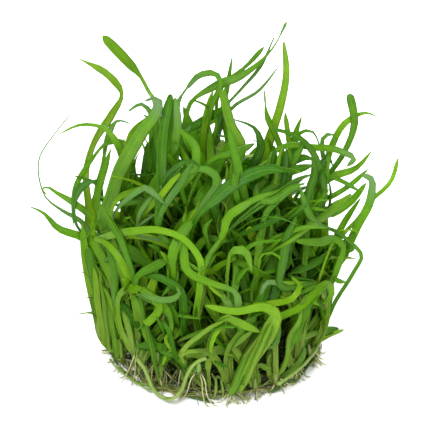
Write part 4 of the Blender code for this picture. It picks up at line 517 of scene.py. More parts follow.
    (0, green(0.24, 0.4), [(28.5, 47, 0.8), (30.3, 51, 1.2), (31.5, 54, 1.4), (32.3, 56.3, 2), (33.6, 57.6, 1.9),
        (34.8, 56.6, 1.4), (35.4, 55, 0.8)]),
    (-1, BRIGHT, [(18.8, 55, 1.4), (19.3, 58, 1.6), (20.3, 60.8, 1)]),
    (0.5, green(0.2, 0.35), [(21.3, 55, 1.6), (21.3, 58, 1.9), (21.4, 60.8, 1)]),
    (0, MID, [(32.8, 46.3, 0.8), (34.7, 48.9, 0.4)]),
]


def on_view(point):
    """Where the front view shows a point: (across, up)."""
    offset = point - AIM
    share = 1.0 - offset.dot(TOWARD) / VIEW_DISTANCE
    return offset.x / share, offset.dot(UPWARD) / share + AIM_UP


def sight(across, up):
    """The way from the eye to (across, up) on the front view."""
    return AIM + Vector((across, 0.0, 0.0)) + UPWARD * (up - AIM_UP) - EYE


def seen_point(across, up, toward):
    """The place that the front view shows at (across, up), this far toward the viewer."""
    ray = sight(across, up)
    return EYE + ray * ((toward - EYE.dot(TOWARD)) / ray.dot(TOWARD))


def floor_point(across, up, height):
    """The place that the front view shows at (across, up), at a height above the floor."""
    ray = sight(across, up)
    return EYE + ray * ((height - EYE.z) / ray.z)


def eased(low, high, value):
    """0 below low, 1 above high, and a smooth step between them."""
    share = min(1.0, max(0.0, (value - low) / (high - low)))
    return share * share * (3.0 - 2.0 * share)


def mixed(a, b, share):
    """A number between two others."""
    return a + (b - a) * share


def stepped(table, place):
    """Read a list of (place, value) pairs at a place between them."""
    for (a, low), (b, high) in zip(table, table[1:]):
        if place <= b:
            return mixed(low, high, (place - a) / (b - a))
    return table[-1][1]


def on_plot(foot, plot):
    """Whether a crown's foot stands on a plot of the ground."""
    left, right, line = plot
    return foot.y < line and left < foot.x < right


def runs(points):
    """The way along a line at each of its points."""
    return [after - before for before, after in zip(points[:1] + points[:-1], points[1:] + points[-1:])]


def level_ways(heading):
    """The level way at a heading, and the level way beside it."""
    outward = Vector((math.cos(heading), math.sin(heading), 0.0))
    return outward, Vector((-outward.y, outward.x, 0.0))


# Reading the leaves from the plantlets' solids

def merged_solid(node):
    """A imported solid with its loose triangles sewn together."""
    bm = bmesh.new()
    bm.from_mesh(frame["nodes"][node].data)
    bmesh.ops.remove_doubles(bm, verts=bm.verts, dist=MERGE)
    return bm


def neighbours(verts, used):
    """The corners linked to some others, without those already used."""
    found = []
    for vert in verts:
        for edge in vert.link_edges:
            other = edge.other_vert(vert)
            if other not in used and other not in found:
                found.append(other)
    return found


def rings_below(tip):
    """The three-cornered sections of a leaf, from its tip down to where it enters the crown."""
    used = {tip}
    ring = neighbours([tip], used)
    rings = []
    while len(ring) == 3:
        rings.append([vert.co / MM for vert in ring])
        used.update(ring)
        ring = neighbours(ring, used)
    return rings


def matched(ring, other):
    """The corners of a section in the order of its neighbour's."""
    middle = sum(ring, Vector()) / 3.0
    goal = sum(other, Vector()) / 3.0
    best = None
    for order in ((0, 1, 2), (1, 2, 0), (2, 0, 1), (0, 2, 1), (2, 1, 0), (1, 0, 2)):
        cost = sum(((ring[i] - middle) - (corner - goal)).length for i, corner in zip(order, other))
        if best is None or cost < best[0]:
            best = (cost, [ring[i] for i in order])
    return best[1]


def named_corners(rings):
    """Each section as (one edge, other edge, keel), told apart at the leaf's widest place."""
    def spread(ring):
        return max((ring[i] - ring[(i + 1) % 3]).length for i in range(3))
    widest = max(range(len(rings)), key=lambda k: spread(rings[k]))
    ring = rings[widest]
    keel = max(range(3), key=lambda i: (ring[(i + 1) % 3] - ring[(i + 2) % 3]).length)
    named = {widest: [ring[(keel + 1) % 3], ring[(keel + 2) % 3], ring[keel]]}
    for k in range(widest + 1, len(rings)):
        named[k] = matched(rings[k], named[k - 1])
    for k in range(widest - 1, -1, -1):
        named[k] = matched(rings[k], named[k + 1])
    return [named[k] for k in range(len(rings))]


def crown_foot(bm):
    """The lowest point of a plantlet's crown: the pole whose neighbours are all at one height above it."""
    for vert in sorted(bm.verts, key=lambda v: v.co.z):
        heights = [edge.other_vert(vert).co.z / MM for edge in vert.link_edges]
        pole = len(heights) == CROWN_SIDES and min(heights) > vert.co.z / MM
        if pole and max(heights) - min(heights) < CROWN_LEVEL:
            return vert.co / MM
    return min((vert.co for vert in bm.verts), key=lambda co: co.z) / MM


class GrowthLine:
    """A leaf's or root's line: places from foot to tip, with the way across it and its width at each."""

    def __init__(self, points, across, widths):
        self.points = points
        self.across = across
        self.widths = widths
        self.lengths = [0.0]
        for a, b in zip(points, points[1:]):
            self.lengths.append(self.lengths[-1] + (b - a).length)
        self.length = self.lengths[-1]
        self.tip = points[-1]

    def slope(self, k):
        """The line's direction at one of its places."""
        before, after = max(0, k - 1), min(len(self.points) - 1, k + 1)
        if before == k or after == k:
            return (self.points[after] - self.points[before]) / (self.lengths[after] - self.lengths[before])
        low = self.lengths[k] - self.lengths[before]
        high = self.lengths[after] - self.lengths[k]
        first = (self.points[k] - self.points[before]) / low
        second = (self.points[after] - self.points[k]) / high
        return (first * high + second * low) / (low + high)

    def at(self, share):
        """The point, direction, way across and width at a share of the length."""
        goal = share * self.length
        k = 0
        while k < len(self.points) - 2 and self.lengths[k + 1] < goal:
            k += 1
        span = self.lengths[k + 1] - self.lengths[k]
        t = (goal - self.lengths[k]) / span
        a, b = self.points[k], self.points[k + 1]
        ma, mb = self.slope(k) * span, self.slope(k + 1) * span
        point = (a * (2 * t ** 3 - 3 * t * t + 1) + ma * (t ** 3 - 2 * t * t + t)
                 + b * (3 * t * t - 2 * t ** 3) + mb * (t ** 3 - t * t))
        direction = (a * (6 * t * t - 6 * t) + ma * (3 * t * t - 4 * t + 1)
                     + b * (6 * t - 6 * t * t) + mb * (3 * t * t - 2 * t)).normalized()
        across = self.across[k].lerp(self.across[k + 1], t * t * (3 - 2 * t))
        across = (across - direction * across.dot(direction)).normalized()
        return point, direction, across, mixed(self.widths[k], self.widths[k + 1], t)


def level_line(points, widths):
    """A line whose way across is level all along."""
    across = []
    for run in runs(points):
        level = Vector((-run.y, run.x, 0.0))
        across.append(level.normalized() if level.length > 0.01 else Vector((1.0, 0.0, 0.0)))
    return GrowthLine(points, across, widths)


def read_leaf(tip, crown):
    """The line of one leaf of a solid, from inside its crown to its tip."""
    rings = named_corners(rings_below(tip))
    rings.reverse()
    points = [crown + LEAF_START] + [(one + other) / 2.0 for one, other, keel in rings] + [tip.co / MM]
    across = [(other - one).normalized() for one, other, keel in rings]
    widths = [(other - one).length for one, other, keel in rings]
    upper = points[1] - rings[0][2]
    if across[0].cross(points[2] - points[1]).dot(upper) < 0.0:
        across = [-way for way in across]
    return GrowthLine(points, [across[0]] + across + [across[-1]], [widths[0]] + widths + [0.4 * widths[-1]])


def leaves_of(node):
    """The crown's foot and every leaf of a plantlet's solid."""
    bm = merged_solid(node)
    crown = crown_foot(bm)
    leaves = []
    for vert in bm.verts:
        far = (vert.co / MM - crown).length > TIP_FROM_CROWN
        if far and len(vert.link_edges) == 3 and len(rings_below(vert)) > 1:
            leaves.append(read_leaf(vert, crown))
    bm.free()
    return crown, leaves


# Laying a fine surface along a line

class Growth:
    """A mesh in the making, with the layers that the finishes read."""

    def __init__(self):
        self.bm = bmesh.new()
        self.bm.loops.layers.uv.new("UVMap")
        self.tint = self.bm.verts.layers.float_color.new("growth")
        self.pale = self.bm.verts.layers.float.new("pale")


def smooth_faces(verts, finish=0):
    """Shade the faces of some corners smoothly, in one of the piece's finishes."""
    for face in {face for vert in verts for face in vert.link_faces}:
        face.smooth = True
        face.material_index = finish


def lay_along(growth, line, sides, shares, section, look):
    """Roll a grid into a closed form along a line, ending in a point at its foot and tip."""
    rows = len(shares) - 1
    grid = bmesh.ops.create_grid(growth.bm, x_segments=sides, y_segments=rows, size=0.5, calc_uvs=True)
    places = [line.at(share) for share in shares]
    looks = [look(share) for share in shares]
    for vert in grid["verts"]:
        row = round((vert.co.y + 0.5) * rows)
        point, direction, across, width = places[row]
        if 0 < row < rows:
            turn = vert.co.x + 0.5 if vert.co.x < GRID_END else 0.0
            sideways, rise = section(turn % 1.0, shares[row], width)
            point = point + across * sideways + across.cross(direction) * rise
        vert.co = point * MM
        vert[growth.tint], vert[growth.pale] = looks[row]
    smooth_faces(grid["verts"])
    bmesh.ops.remove_doubles(growth.bm, verts=grid["verts"], dist=SEAM)


def blade_section(look, phase, widest):
    """A strap leaf's section: a channelled upper face over a keeled underside."""
    def section(place, share, width):
        side = 1.0 - 4.0 * place if place < 0.5 else 4.0 * place - 3.0
        half = 0.5 * look.width_at(share, width, widest)
        foot = 1.0 - eased(0.04, 0.32, share)
        thick = min(0.9 * half, 0.10 + 0.08 * width + 0.22 * width * foot)
        cup = mixed(look.cup, 0.05, eased(0.6, 1.0, share))
        rise = cup * half * (side * side - 0.35)
        rise += look.wave * half * side * math.sin(phase + share * look.waves)
        middle = max(0.0, 1.0 - 3.0 * abs(side))
        if place < 0.5:
            rise -= 0.05 * half * middle
        else:
            rise -= thick * max(0.0, 1.0 - side * side) ** 0.6 + 0.08 * half * middle
        return side * half, rise
    return section


def round_section(place, share, width):
    """A root's or stem's section: round."""
    return 0.5 * width * math.cos(ROUND * place), 0.5 * width * math.sin(ROUND * place)


def flat_section(place, share, width):
    """A dead strand's section: flat and thin."""
    return 0.5 * width * math.cos(ROUND * place), 0.16 * math.sin(ROUND * place)


def toned(tone):
    """The growth layer of what has a tone but no green: (light, warm, painted sheen, length)."""
    return tone, 0.5, 0.0, 0.2


def lay_strand(growth, points, widths, sides, rows, tone, section=round_section):
    """Lay a root, stem or strand of one tone along its places."""
    lay_along(growth, level_line(points, widths), sides, [row / rows for row in range(rows + 1)], section,
              lambda share: (toned(tone), 0.0))


# What each leaf looks like

class LeafLook:
    """A leaf's own green and form: light to dark, warm to cold, with a painted grey-blue sheen on it and at its
    tip.
    """

    def __init__(self, rng, light, warm, frost=0.0, tip_frost=0.0, end="acute", tip_light=0.0, bleach=0.0,
                 wide=1.0, pale_to=None, blade=None, lift=0.0):
        self.light = light + rng.uniform(-0.06, 0.06)
        self.warm = warm + rng.uniform(-0.08, 0.08)
        self.frost = frost
        self.tip_frost = tip_frost
        self.end = end
        self.tip_light = tip_light
        self.bleach = bleach
        self.wide = wide
        self.pale_to = pale_to
        self.blade = blade
        self.lift = lift
        self.hung = False
        self.long = 0.0
        self.cup = rng.uniform(0.10, 0.34)
        self.wave = rng.uniform(0.03, 0.12)
        self.waves = rng.uniform(9.0, 16.0)

    def width_at(self, share, width, widest):
        """The width at a share of the leaf: its blade's, or its solid's with a shaped end and a sheath."""
        hang = mixed(HUNG_WIDTH, 1.0, eased(3.5, 9.0, share * self.long)) if self.hung else 1.0
        if self.blade:
            return hang * self.wide * stepped(self.blade, (1.0 - share) * self.long)
        hold, start, power = LEAF_ENDS[self.end]
        width = self.wide * mixed(width, max(width, widest), hold * eased(0.55, 0.80, share))
        width *= 1.0 + SHEATH_SWELL * (1.0 - eased(0.05, 0.22, share))
        late = max(0.0, (share - start) / (1.0 - start)) if start < 1.0 else 0.0
        return hang * width * max(0.0, 1.0 - late ** power) ** 0.6

    def growth(self, length, pale_to):
        """What the finish reads at each share of a leaf: (light, warm, painted sheen, length) and paleness."""
        pale_to = self.pale_to or pale_to

        def look(share):
            toward_tip = eased(0.5, 0.95, share)
            light = self.light + self.tip_light * toward_tip
            # The painted grey-blue sheen: the leaf's own, and more over the last few millimetres to its tip
            frost = self.frost + self.tip_frost * (1.0 - eased(5.0, 13.0, (1.0 - share) * length))
            pale = max(self.bleach * (1.0 - 0.5 * toward_tip), 1.0 - eased(0.25 * pale_to, pale_to, share * length))
            return (light, self.warm, frost, length / 100.0), pale
        return look


def leaf_look(rng, tip):
    """The look of a leaf, by the place of its tip on the front view, or else by chance."""
    across, up = on_view(tip)
    named = min(NAMED_LOOKS, key=lambda entry: math.hypot(entry[0] - across, entry[1] - up))
    high = eased(HIGH_FROM, HIGH_TO, up)
    if math.hypot(named[0] - across, named[1] - up) < NAMED_WITHIN:
        look = LeafLook(rng, **named[2])
        look.warm += HIGH_WARM * high
        look.frost += HIGH_PAINTED_SHEEN * high
        look.wide *= 1.0 + HIGH_WIDE * high
        return look
    sunlit = (SUNLIT if up > SHADE_TOP else SHADED) if across < LEFT_OF else ELSEWHERE_LIT
    light = 0.60 + sunlit + 0.08 * high + rng.uniform(-0.24, 0.20)
    warm = 0.50 + 0.45 * high + rng.uniform(-0.3, 0.25)
    return LeafLook(rng, light, warm)


# Growing the leaves

def leaf_places(length, rows):
    """Shares of a leaf's length, even but for the last few, which draw its rounded tip."""
    tips = [gap for gap in TIP_STEPS if gap < 0.2 * length]
    even = rows - len(tips)
    last = 1.0 - 1.6 * max(tips) / length
    return [last * k / (even - 1) for k in range(even)] + [1.0 - gap / length for gap in tips] + [1.0]


def open_to_view(leaf, lean):
    """The same line, with its blade turned to lie open to the front view, but for a slight lean."""
    across = []
    for k, own in enumerate(leaf.across):
        run = leaf.slope(k).normalized()
        way = run.cross(TOWARD)
        across.append(Matrix.Rotation(lean, 3, run) @ way.normalized() if way.length > 0.2 else own)
    return GrowthLine(leaf.points, across, leaf.widths)


def grow_leaf(growth, rng, leaf, look, sides, pale_to):
    """Lay one strap leaf along its line."""
    look.long = leaf.length
    if look.lift:
        leaf = GrowthLine([point + TOWARD * look.lift * eased(0.2, 0.5, reach / leaf.length)
                           for point, reach in zip(leaf.points, leaf.lengths)], leaf.across, leaf.widths)
    if look.blade:
        leaf = open_to_view(leaf, rng.uniform(-LEAF_LEAN, LEAF_LEAN))
    rows = max(FEWEST_STEPS, min(MOST_STEPS, round(leaf.length / STEP_LENGTH)))
    section = blade_section(look, rng.uniform(0.0, 6.0), max(leaf.widths))
    lay_along(growth, leaf, sides, leaf_places(leaf.length, rows), section, look.growth(leaf.length, pale_to))


def front_of(across, up, marks):
    """How far toward the viewer the foremost solid leaf lies at a place on the front view."""
    near = [mark for mark in marks if math.hypot(mark[0] - across, mark[1] - up) < NEAR_ON_VIEW]
    if near:
        return max(mark[2] for mark in near)
    return min(marks, key=lambda mark: math.hypot(mark[0] - across, mark[1] - up))[2]


def seen_leaves(rng, plantlets):
    """The leaves drawn from the front view: for each plantlet, its own, as (line, look)."""
    shares = [k / LEAF_SHARES for k in range(2, LEAF_SHARES + 1)]
    samples = [(leaf, node, share, leaf.at(share)[0])
               for node, (foot, leaves) in plantlets.items() for leaf in leaves for share in shares]
    marks = [(*on_view(point), point.dot(TOWARD)) for leaf, node, share, point in samples]
    grown = {node: [] for node in plantlets}
    for before, words, places in SEEN_LEAVES:
        depths = [front_of(across, up, marks) for across, up, width in places]
        for _ in range(3):
            depths = [(low + 2.0 * depth + high) / 4.0
                      for low, depth, high in zip(depths[:1] + depths[:-1], depths, depths[1:] + depths[-1:])]
        points = [seen_point(across, up, depth + before) for (across, up, width), depth in zip(places, depths)]
        host, node, share, near = min(samples, key=lambda s: (s[3] - points[0]).length + 6.0 * (s[2] > 0.9))
        points = [host.at(share * part)[0] for part in (0.35, 0.7)] + points
        widths = [0.8, 0.7 * places[0][2]] + [width for across, up, width in places]
        lean = rng.uniform(-LEAF_LEAN, LEAF_LEAN) + (math.pi if rng.random() < 0.3 else 0.0)
        across = [Matrix.Rotation(lean, 3, run.normalized()) @ run.cross(TOWARD).normalized()
                  for run in runs(points)]
        grown[node].append((GrowthLine(points, across, widths), LeafLook(rng, **words)))
    return grown


def body_top(across):
    """How high the dense body of the clump reaches on the front view."""
    return stepped(BODY_TOP, across) if BODY_TOP[0][0] <= across <= BODY_TOP[-1][0] else 0.0


def sister_leaf(rng, leaf, other, share, stop, width):
    """A leaf that starts along one of the solids' leaves and crosses to end along another."""
    turn = rng.uniform(-1.2, 1.2)
    roll = rng.uniform(-2.0, 2.0)
    sway = Vector((rng.uniform(-1.0, 1.0), rng.uniform(-1.0, 1.0), 0.0)) * 3.0
    aside = Vector((rng.uniform(-1.0, 1.0), rng.uniform(-0.6, 0.6), 0.0)) * rng.uniform(0.0, 9.0)
    fall = Vector((0.0, 0.0, rng.uniform(-1.0, 7.0)))
    points = []
    across = []
    widths = []
    for k in range(SISTER_STEPS + 1):
        part = k / SISTER_STEPS
        point, direction, way, _ = leaf.at(part * share)
        end, heading, _, _ = other.at(stop * mixed(0.55, 1.0, part))
        over = eased(0.15, 1.0, part)
        points.append(point.lerp(end, over) + sway * math.sin(3.1 * part) + aside * eased(0.45, 1.1, part)
                      - fall * eased(0.6, 1.1, part))
        across.append(Matrix.Rotation(turn + roll * part, 3, direction.lerp(heading, over).normalized()) @ way)
        widths.append(width * stepped(SISTER_WIDTHS, part))
    return GrowthLine(points, across, widths)


def fitting_sister(rng, leaf, leaves, width):
    """A sister leaf that ends inside the dense body of the clump, near where another leaf is."""
    for _ in range(SISTER_TRIES):
        share = rng.uniform(0.45, 0.95)
        stop = rng.uniform(0.55, 0.97)
        other = rng.choice(leaves)
        if SISTER_GAP[0] < (leaf.at(share)[0] - other.at(stop)[0]).length < SISTER_GAP[1]:
            sister = sister_leaf(rng, leaf, other, share, stop, width)
            across, up = on_view(sister.tip)
            if up < body_top(across) + OVER_TOP and sister.tip.z > SISTER_LOW:
                return sister
    return None


def sheath(rng, leaf):
    """The pale sheath that wraps a leaf's foot, as a short strap with its edges rolled in."""
    long = rng.uniform(14.0, 28.0)
    turn = rng.uniform(-0.7, 0.7)
    outward = rng.uniform(0.0, 1.0)
    points = []
    across = []
    widths = []
    for part in (0.0, 0.2, 0.4, 0.6, 0.8, 1.0):
        point, direction, way, _ = leaf.at(part * long / leaf.length)
        points.append(point - Vector((0.0, 0.0, 2.6 * (1.0 - part))) + (0.3 + outward * part) * TOWARD)
        across.append(Matrix.Rotation(turn, 3, direction) @ way)
        widths.append(mixed(2.1, 1.2, part) * rng.uniform(0.85, 1.15))
    return GrowthLine(points, across, widths)


def crown_stock(growth, rng, foot):
    """A crown: the slim, ribbed little stock that a plantlet's leaves and roots spring from."""
    made = bmesh.ops.create_uvsphere(growth.bm, u_segments=14, v_segments=9, radius=1.0, calc_uvs=True)
    tone = rng.uniform(0.0, 1.0)
    lean = Vector((rng.uniform(-0.35, 0.35), rng.uniform(-0.35, 0.35), 0.0))
    for vert in made["verts"]:
        angle = math.atan2(vert.co.y, vert.co.x)
        height = vert.co.z
        rib = 1.0 + 0.14 * math.sin(5.0 * angle + tone * 6.0) + 0.08 * math.sin(11.0 * angle)
        reach = CROWN_RADIUS * rib * mixed(1.0, 0.7, eased(0.0, 1.0, height))
        place = Vector((vert.co.x * reach, vert.co.y * reach, CROWN_HALF_HEIGHT * height)) + CROWN_MIDDLE
        vert.co = (foot + place + lean * (height + 1.0)) * MM
        vert[growth.tint] = (0.5, tone, 0.0, 0.3)
        vert[growth.pale] = 1.0
    smooth_faces(made["verts"], 1)


def finished_piece(name, bm, materials, replaced=()):
    """Turn a bmesh into a piece that rides on the clump."""
    mesh = bpy.data.meshes.new(name)
    bmesh.ops.recalc_face_normals(bm, faces=bm.faces)
    bm.to_mesh(mesh)
    bm.free()
    for material in materials:
        mesh.materials.append(material)
    piece = bpy.data.objects.new(name, mesh)
    bpy.context.scene.collection.objects.link(piece)
    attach(piece, "root")
    if replaced:
        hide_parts(*replaced)


# Finishes

class Finish:
    """A finish in the making: a material with its nodes and its shader."""

    def __init__(self, name):
        self.material = bpy.data.materials.new(name)
        self.material.use_nodes = True
        self.tree = self.material.node_tree
        self.shader = self.tree.nodes["Principled BSDF"]

    def feed(self, socket, value):
        """Link a socket to another, or set it to a number or colour."""
        if isinstance(value, bpy.types.NodeSocket):
            self.tree.links.new(value, socket)
        else:
            socket.default_value = (*value, 1.0) if socket.type == "RGBA" else value

    def node(self, kind, inputs=(), **settings):
        """A new node with its settings, and the inputs that are linked or set."""
        made = self.tree.nodes.new("ShaderNode" + kind)
        for name, value in settings.items():
            setattr(made, name, value)
        for name, value in dict(inputs).items():
            self.feed(made.inputs[name], value)
        return made

    def sum_of(self, operation, *values):
        """A Math node on sockets or numbers."""
        return self.node("Math", enumerate(values), operation=operation).outputs[0]

    def times(self, value, factor):
        """Two values multiplied."""
        return self.sum_of("MULTIPLY", value, factor)

    def mix(self, share, low, high):
        """One colour laid over another by a share."""
        return self.node("Mix", {0: share, 6: low, 7: high}, data_type="RGBA").outputs[2]

    def stain(self, share, colour, tint):
        """A colour multiplied by a tint, by a share."""
        return self.node("Mix", {0: share, 6: colour, 7: tint}, data_type="RGBA", blend_type="MULTIPLY").outputs[2]

    def vector(self, *parts):
        """Values put together as a vector."""
        return self.node("CombineXYZ", enumerate(parts)).outputs[0]

    def parts(self, vector):
        """A vector's own three values."""
        return self.node("SeparateXYZ", {0: vector}).outputs

    def speckle(self, vector, scale, detail=2.0, roughness=0.5):
        """A noise texture's value on a vector."""
        return self.node("TexNoise", {"Vector": vector, "Scale": scale, "Detail": detail,
                                      "Roughness": roughness}).outputs["Fac"]

    def ramp(self, value, stops):
        """A value's colour on a ramp of (place, colour) stops."""
        node = self.node("ValToRGB", {0: value})
        band = node.color_ramp
        for element, (place, colour) in zip((band.elements[0], band.elements[1]), (stops[0], stops[-1])):
            element.position = place
            element.color = (*colour, 1.0)
        for place, colour in stops[1:-1]:
            band.elements.new(place).color = (*colour, 1.0)
        return node.outputs[0]

    def places(self):
        """Where a point lies in the clump, and how far across and along its leaf or root."""
        at = self.node("TexCoord").outputs
        across, along, _ = self.parts(at["UV"])
        return at["Object"], across, along

    def growth(self):
        """What a piece's growth layers hold: light, warm, painted sheen, length and paleness."""
        growth = self.node("Attribute", attribute_name="growth").outputs
        light, warm, frost = self.node("SeparateColor", {0: growth["Color"]}).outputs
        pale = self.node("Attribute", attribute_name="pale").outputs["Fac"]
        return light, warm, frost, growth["Alpha"], pale

    def surface(self, colour, roughness, height, strength, depth):
        """Feed the shader its colour, its roughness and its relief, which is this deep in metres."""
        relief = self.node("Bump", {"Height": height, "Strength": strength, "Distance": depth})
        for name, value in (("Roughness", roughness), ("Normal", relief.outputs[0])):
            self.feed(self.shader.inputs[name], value)
        self.tree.links.new(colour, self.shader.inputs["Base Color"])


def leaf_finish():
    """Wet strap leaf: parallel veins with cross-veins between, a pale foot, a painted grey sheen, and light that
    shines through.
    """
    finish = Finish("strap_leaf")
    sum_of, times, mix, stain, speckle = finish.sum_of, finish.times, finish.mix, finish.stain, finish.speckle
    light, warm, frost, length, pale = finish.growth()
    place, across, along = finish.places()
    side = sum_of("PINGPONG", across, 0.5)
    along = times(along, length)

    cells = finish.vector(times(along, 60.0), times(side, 14.0))
    wander = speckle(cells, 0.7, 1.0)
    shaken = finish.node("VectorMath", {0: cells, 1: finish.vector(wander, times(wander, 0.35))}, operation="ADD")
    veins = finish.node("TexBrick", {"Vector": shaken.outputs[0], "Scale": 1.0, "Mortar Size": 0.10,
                                     "Mortar Smooth": 0.9, "Brick Width": 1.0, "Row Height": 1.0},
                        offset=0.5).outputs["Fac"]
    streaks = speckle(finish.vector(times(side, 26.0), times(along, 5.0), times(light, 40.0)), 1.0)
    patches = speckle(place, 260.0, 3.0)
    fine = speckle(place, 2600.0)
    midrib = sum_of("LESS_THAN", sum_of("ABSOLUTE", sum_of("SUBTRACT", side, 0.25)), 0.022)
    underside = sum_of("GREATER_THAN", across, 0.5)

    tone = sum_of("ADD", light, times(sum_of("SUBTRACT", patches, 0.5), 0.30))
    colour = finish.ramp(tone, [(0.0, (0.022, 0.100, 0.004)), (0.28, (0.048, 0.195, 0.006)),
                                (0.55, (0.100, 0.305, 0.007)), (0.80, (0.190, 0.430, 0.010)),
                                (1.0, (0.300, 0.520, 0.030))])
    colour = stain(times(warm, 0.55), colour, (2.0, 1.12, 1.2))
    # Painted sheen: a grey-green reflection mixed over the colour by the sheen layer
    colour = mix(frost, colour, (0.180, 0.300, 0.150))
    colour = mix(times(underside, 0.35), colour, (0.120, 0.280, 0.025))
    colour = mix(times(pale, 0.80), colour, (0.330, 0.440, 0.085))
    colour = stain(times(streaks, 0.9), colour, (0.60, 0.72, 0.50))
    colour = mix(times(midrib, 0.22), colour, (0.260, 0.460, 0.050))
    colour = stain(times(veins, 0.32), colour, (0.35, 0.55, 0.35))
    colour = stain(times(fine, 0.30), colour, (0.60, 0.70, 0.42))

    finish.surface(colour, sum_of("MULTIPLY_ADD", patches, 0.25, 0.22),
                   sum_of("ADD", sum_of("ADD", veins, times(streaks, 2.0)), fine), 0.35, 0.00008)
    finish.shader.inputs["Specular IOR Level"].default_value = 0.16
    through = finish.node("BsdfTranslucent", {"Color": stain(1.0, colour, (1.9, 1.6, 0.8))})
    join = finish.node("MixShader", {0: 0.48, 1: finish.shader.outputs[0], 2: through.outputs[0]})
    finish.tree.links.new(join.outputs[0], finish.tree.nodes["Material Output"].inputs["Surface"])
    return finish.material


def crown_finish():
    """Crown: pale green above, whitish and tan below, with fine ribs and brown flecks."""
    finish = Finish("crown")
    place = finish.places()[0]
    height = finish.parts(place)[2]
    colour = finish.ramp(finish.times(height, 140.0), [(0.0, (0.10, 0.08, 0.028)), (0.2, (0.19, 0.19, 0.06)),
                                                       (0.5, (0.20, 0.26, 0.06)), (1.0, (0.14, 0.28, 0.035))])
    tall = finish.node("Mapping", {"Vector": place, "Scale": (1.0, 1.0, 0.12)}).outputs[0]
    streaks = finish.speckle(tall, 1800.0, 3.0)
    colour = finish.stain(finish.times(streaks, 0.6), colour, (0.55, 0.55, 0.40))
    flecks = finish.sum_of("GREATER_THAN", finish.speckle(place, 900.0, 4.0, 0.7), 0.66)
    colour = finish.mix(finish.times(flecks, 0.6), colour, (0.12, 0.07, 0.025))
    finish.surface(colour, 0.42, streaks, 0.5, 0.00015)
    return finish.material


def strand_finish(name, roughness, stops):
    """Roots and strands: a colour for each by its own tone, with blotches and fine flecks along it."""
    finish = Finish(name)
    light = finish.growth()[0]
    place = finish.places()[0]
    blotches = finish.speckle(place, 700.0, 3.0, 0.6)
    fine = finish.speckle(place, 5200.0)
    tone = finish.sum_of("ADD", light, finish.times(finish.sum_of("SUBTRACT", blotches, 0.5), 0.45))
    colour = finish.stain(finish.times(fine, 0.5), finish.ramp(tone, stops), (0.55, 0.50, 0.42))
    finish.surface(colour, roughness, finish.sum_of("ADD", blotches, fine), 0.5, 0.00008)
    finish.shader.inputs["Specular IOR Level"].default_value = 0.15
    return finish.material


# Roots, the woven mat and the runners

def off_floor(thickness):
    """How high the middle of a strand of a thickness lies when it rests on the floor."""
    return 0.5 * thickness + FLOOR_GAP


def root_from(growth, rng, foot, heading, reach, thickness, tone):
    """A root: out of the crown's side, down to the floor and along it with small turns."""
    outward, beside = level_ways(heading)
    bend = rng.uniform(-0.35, 0.35)
    start = foot + outward * 1.0 + Vector((0.0, 0.0, rng.uniform(1.2, 3.0)))
    points = [start]
    for share in (0.25, 0.5, 0.75, 1.0):
        turn = bend * share * share + rng.uniform(-0.06, 0.06)
        place = start + outward * (reach * share) + beside * (reach * turn)
        place.z = mixed(start.z, off_floor(thickness) + rng.uniform(0.0, 0.5), eased(0.0, 0.75, share))
        points.append(place)
    lay_strand(growth, points, [thickness * part for part in (1.0, 1.0, 0.9, 0.75, 0.4)], 5, 10, tone)


def hung_root(growth, rng, foot, heading, reach, thickness, tone):
    """A root of a raised crown: it falls with a curl or two and runs out a little on the floor."""
    outward, beside = level_ways(heading)
    start = foot + outward * 0.6 + Vector((0.0, 0.0, rng.uniform(0.8, 2.4)))
    sway = rng.uniform(-2.2, 2.2)
    turns = rng.uniform(2.0, 5.0)
    points = [start]
    for share in (0.2, 0.4, 0.6, 0.8, 1.0):
        curl = sway * math.sin(turns * share) + rng.uniform(-0.3, 0.3)
        place = start + outward * (reach * share ** 1.4) + beside * curl
        place.z = max(off_floor(thickness), start.z * (1.0 - 1.1 * share ** 1.3))
        points.append(place)
    lay_strand(growth, points, [thickness * part for part in (1.0, 1.0, 0.95, 0.85, 0.7, 0.4)], 5, 14, tone)


def weave_strand(growth, rng, radius, start, span, low, thickness, tone):
    """A strand of the mat: an arc round the clump's foot that rides over and under its neighbours."""
    steps = max(4, round(span * radius / STRAND_STEP))
    rise = rng.uniform(0.3, 0.9)
    phase = rng.uniform(0.0, 6.0)
    drift = rng.uniform(-3.0, 3.0)
    points = []
    for k in range(steps + 1):
        share = k / steps
        reach = min(STRAND_REACH, radius + drift * (share - 0.5) + 0.7 * math.sin(phase + 3.0 * k))
        place = level_ways(start + span * share)[0] * reach
        place.z = max(off_floor(thickness), low + rise * math.sin(phase + 1.9 * k))
        points.append(place)
    widths = [thickness * mixed(1.0, 0.7, k / steps) for k in range(steps + 1)]
    lay_strand(growth, points, widths, 6, 2 * steps, tone)


def litter_strand(growth, rng):
    """A dead leaf or runner caught between the plantlets, lying aslant just over the mat."""
    reach = LITTER_RADIUS * math.sqrt(rng.uniform(0.0, 1.0))
    outward = level_ways(rng.uniform(0.0, ROUND))[0]
    run, beside = level_ways(rng.uniform(0.0, ROUND))
    run.z = rng.uniform(-0.35, 0.35)
    middle = outward * reach + Vector((0.0, 0.0, rng.uniform(3.0, 7.5)))
    long = rng.uniform(7.0, 16.0)
    bend = rng.uniform(-2.5, 2.5)
    width = rng.uniform(0.5, 1.5)
    points = []
    for share in (-0.5, -0.25, 0.0, 0.25, 0.5):
        place = middle + run * (long * share) + beside * (bend * (1.0 - 4.0 * share * share))
        inward = min(1.0, LITTER_REACH / max(1.0, math.hypot(place.x, place.y)))
        points.append(Vector((place.x * inward, place.y * inward, max(1.0, place.z))))
    lay_strand(growth, points, [width * part for part in (0.6, 1.0, 1.0, 0.9, 0.4)], 6, 9,
               rng.uniform(0.0, 0.8), flat_section)


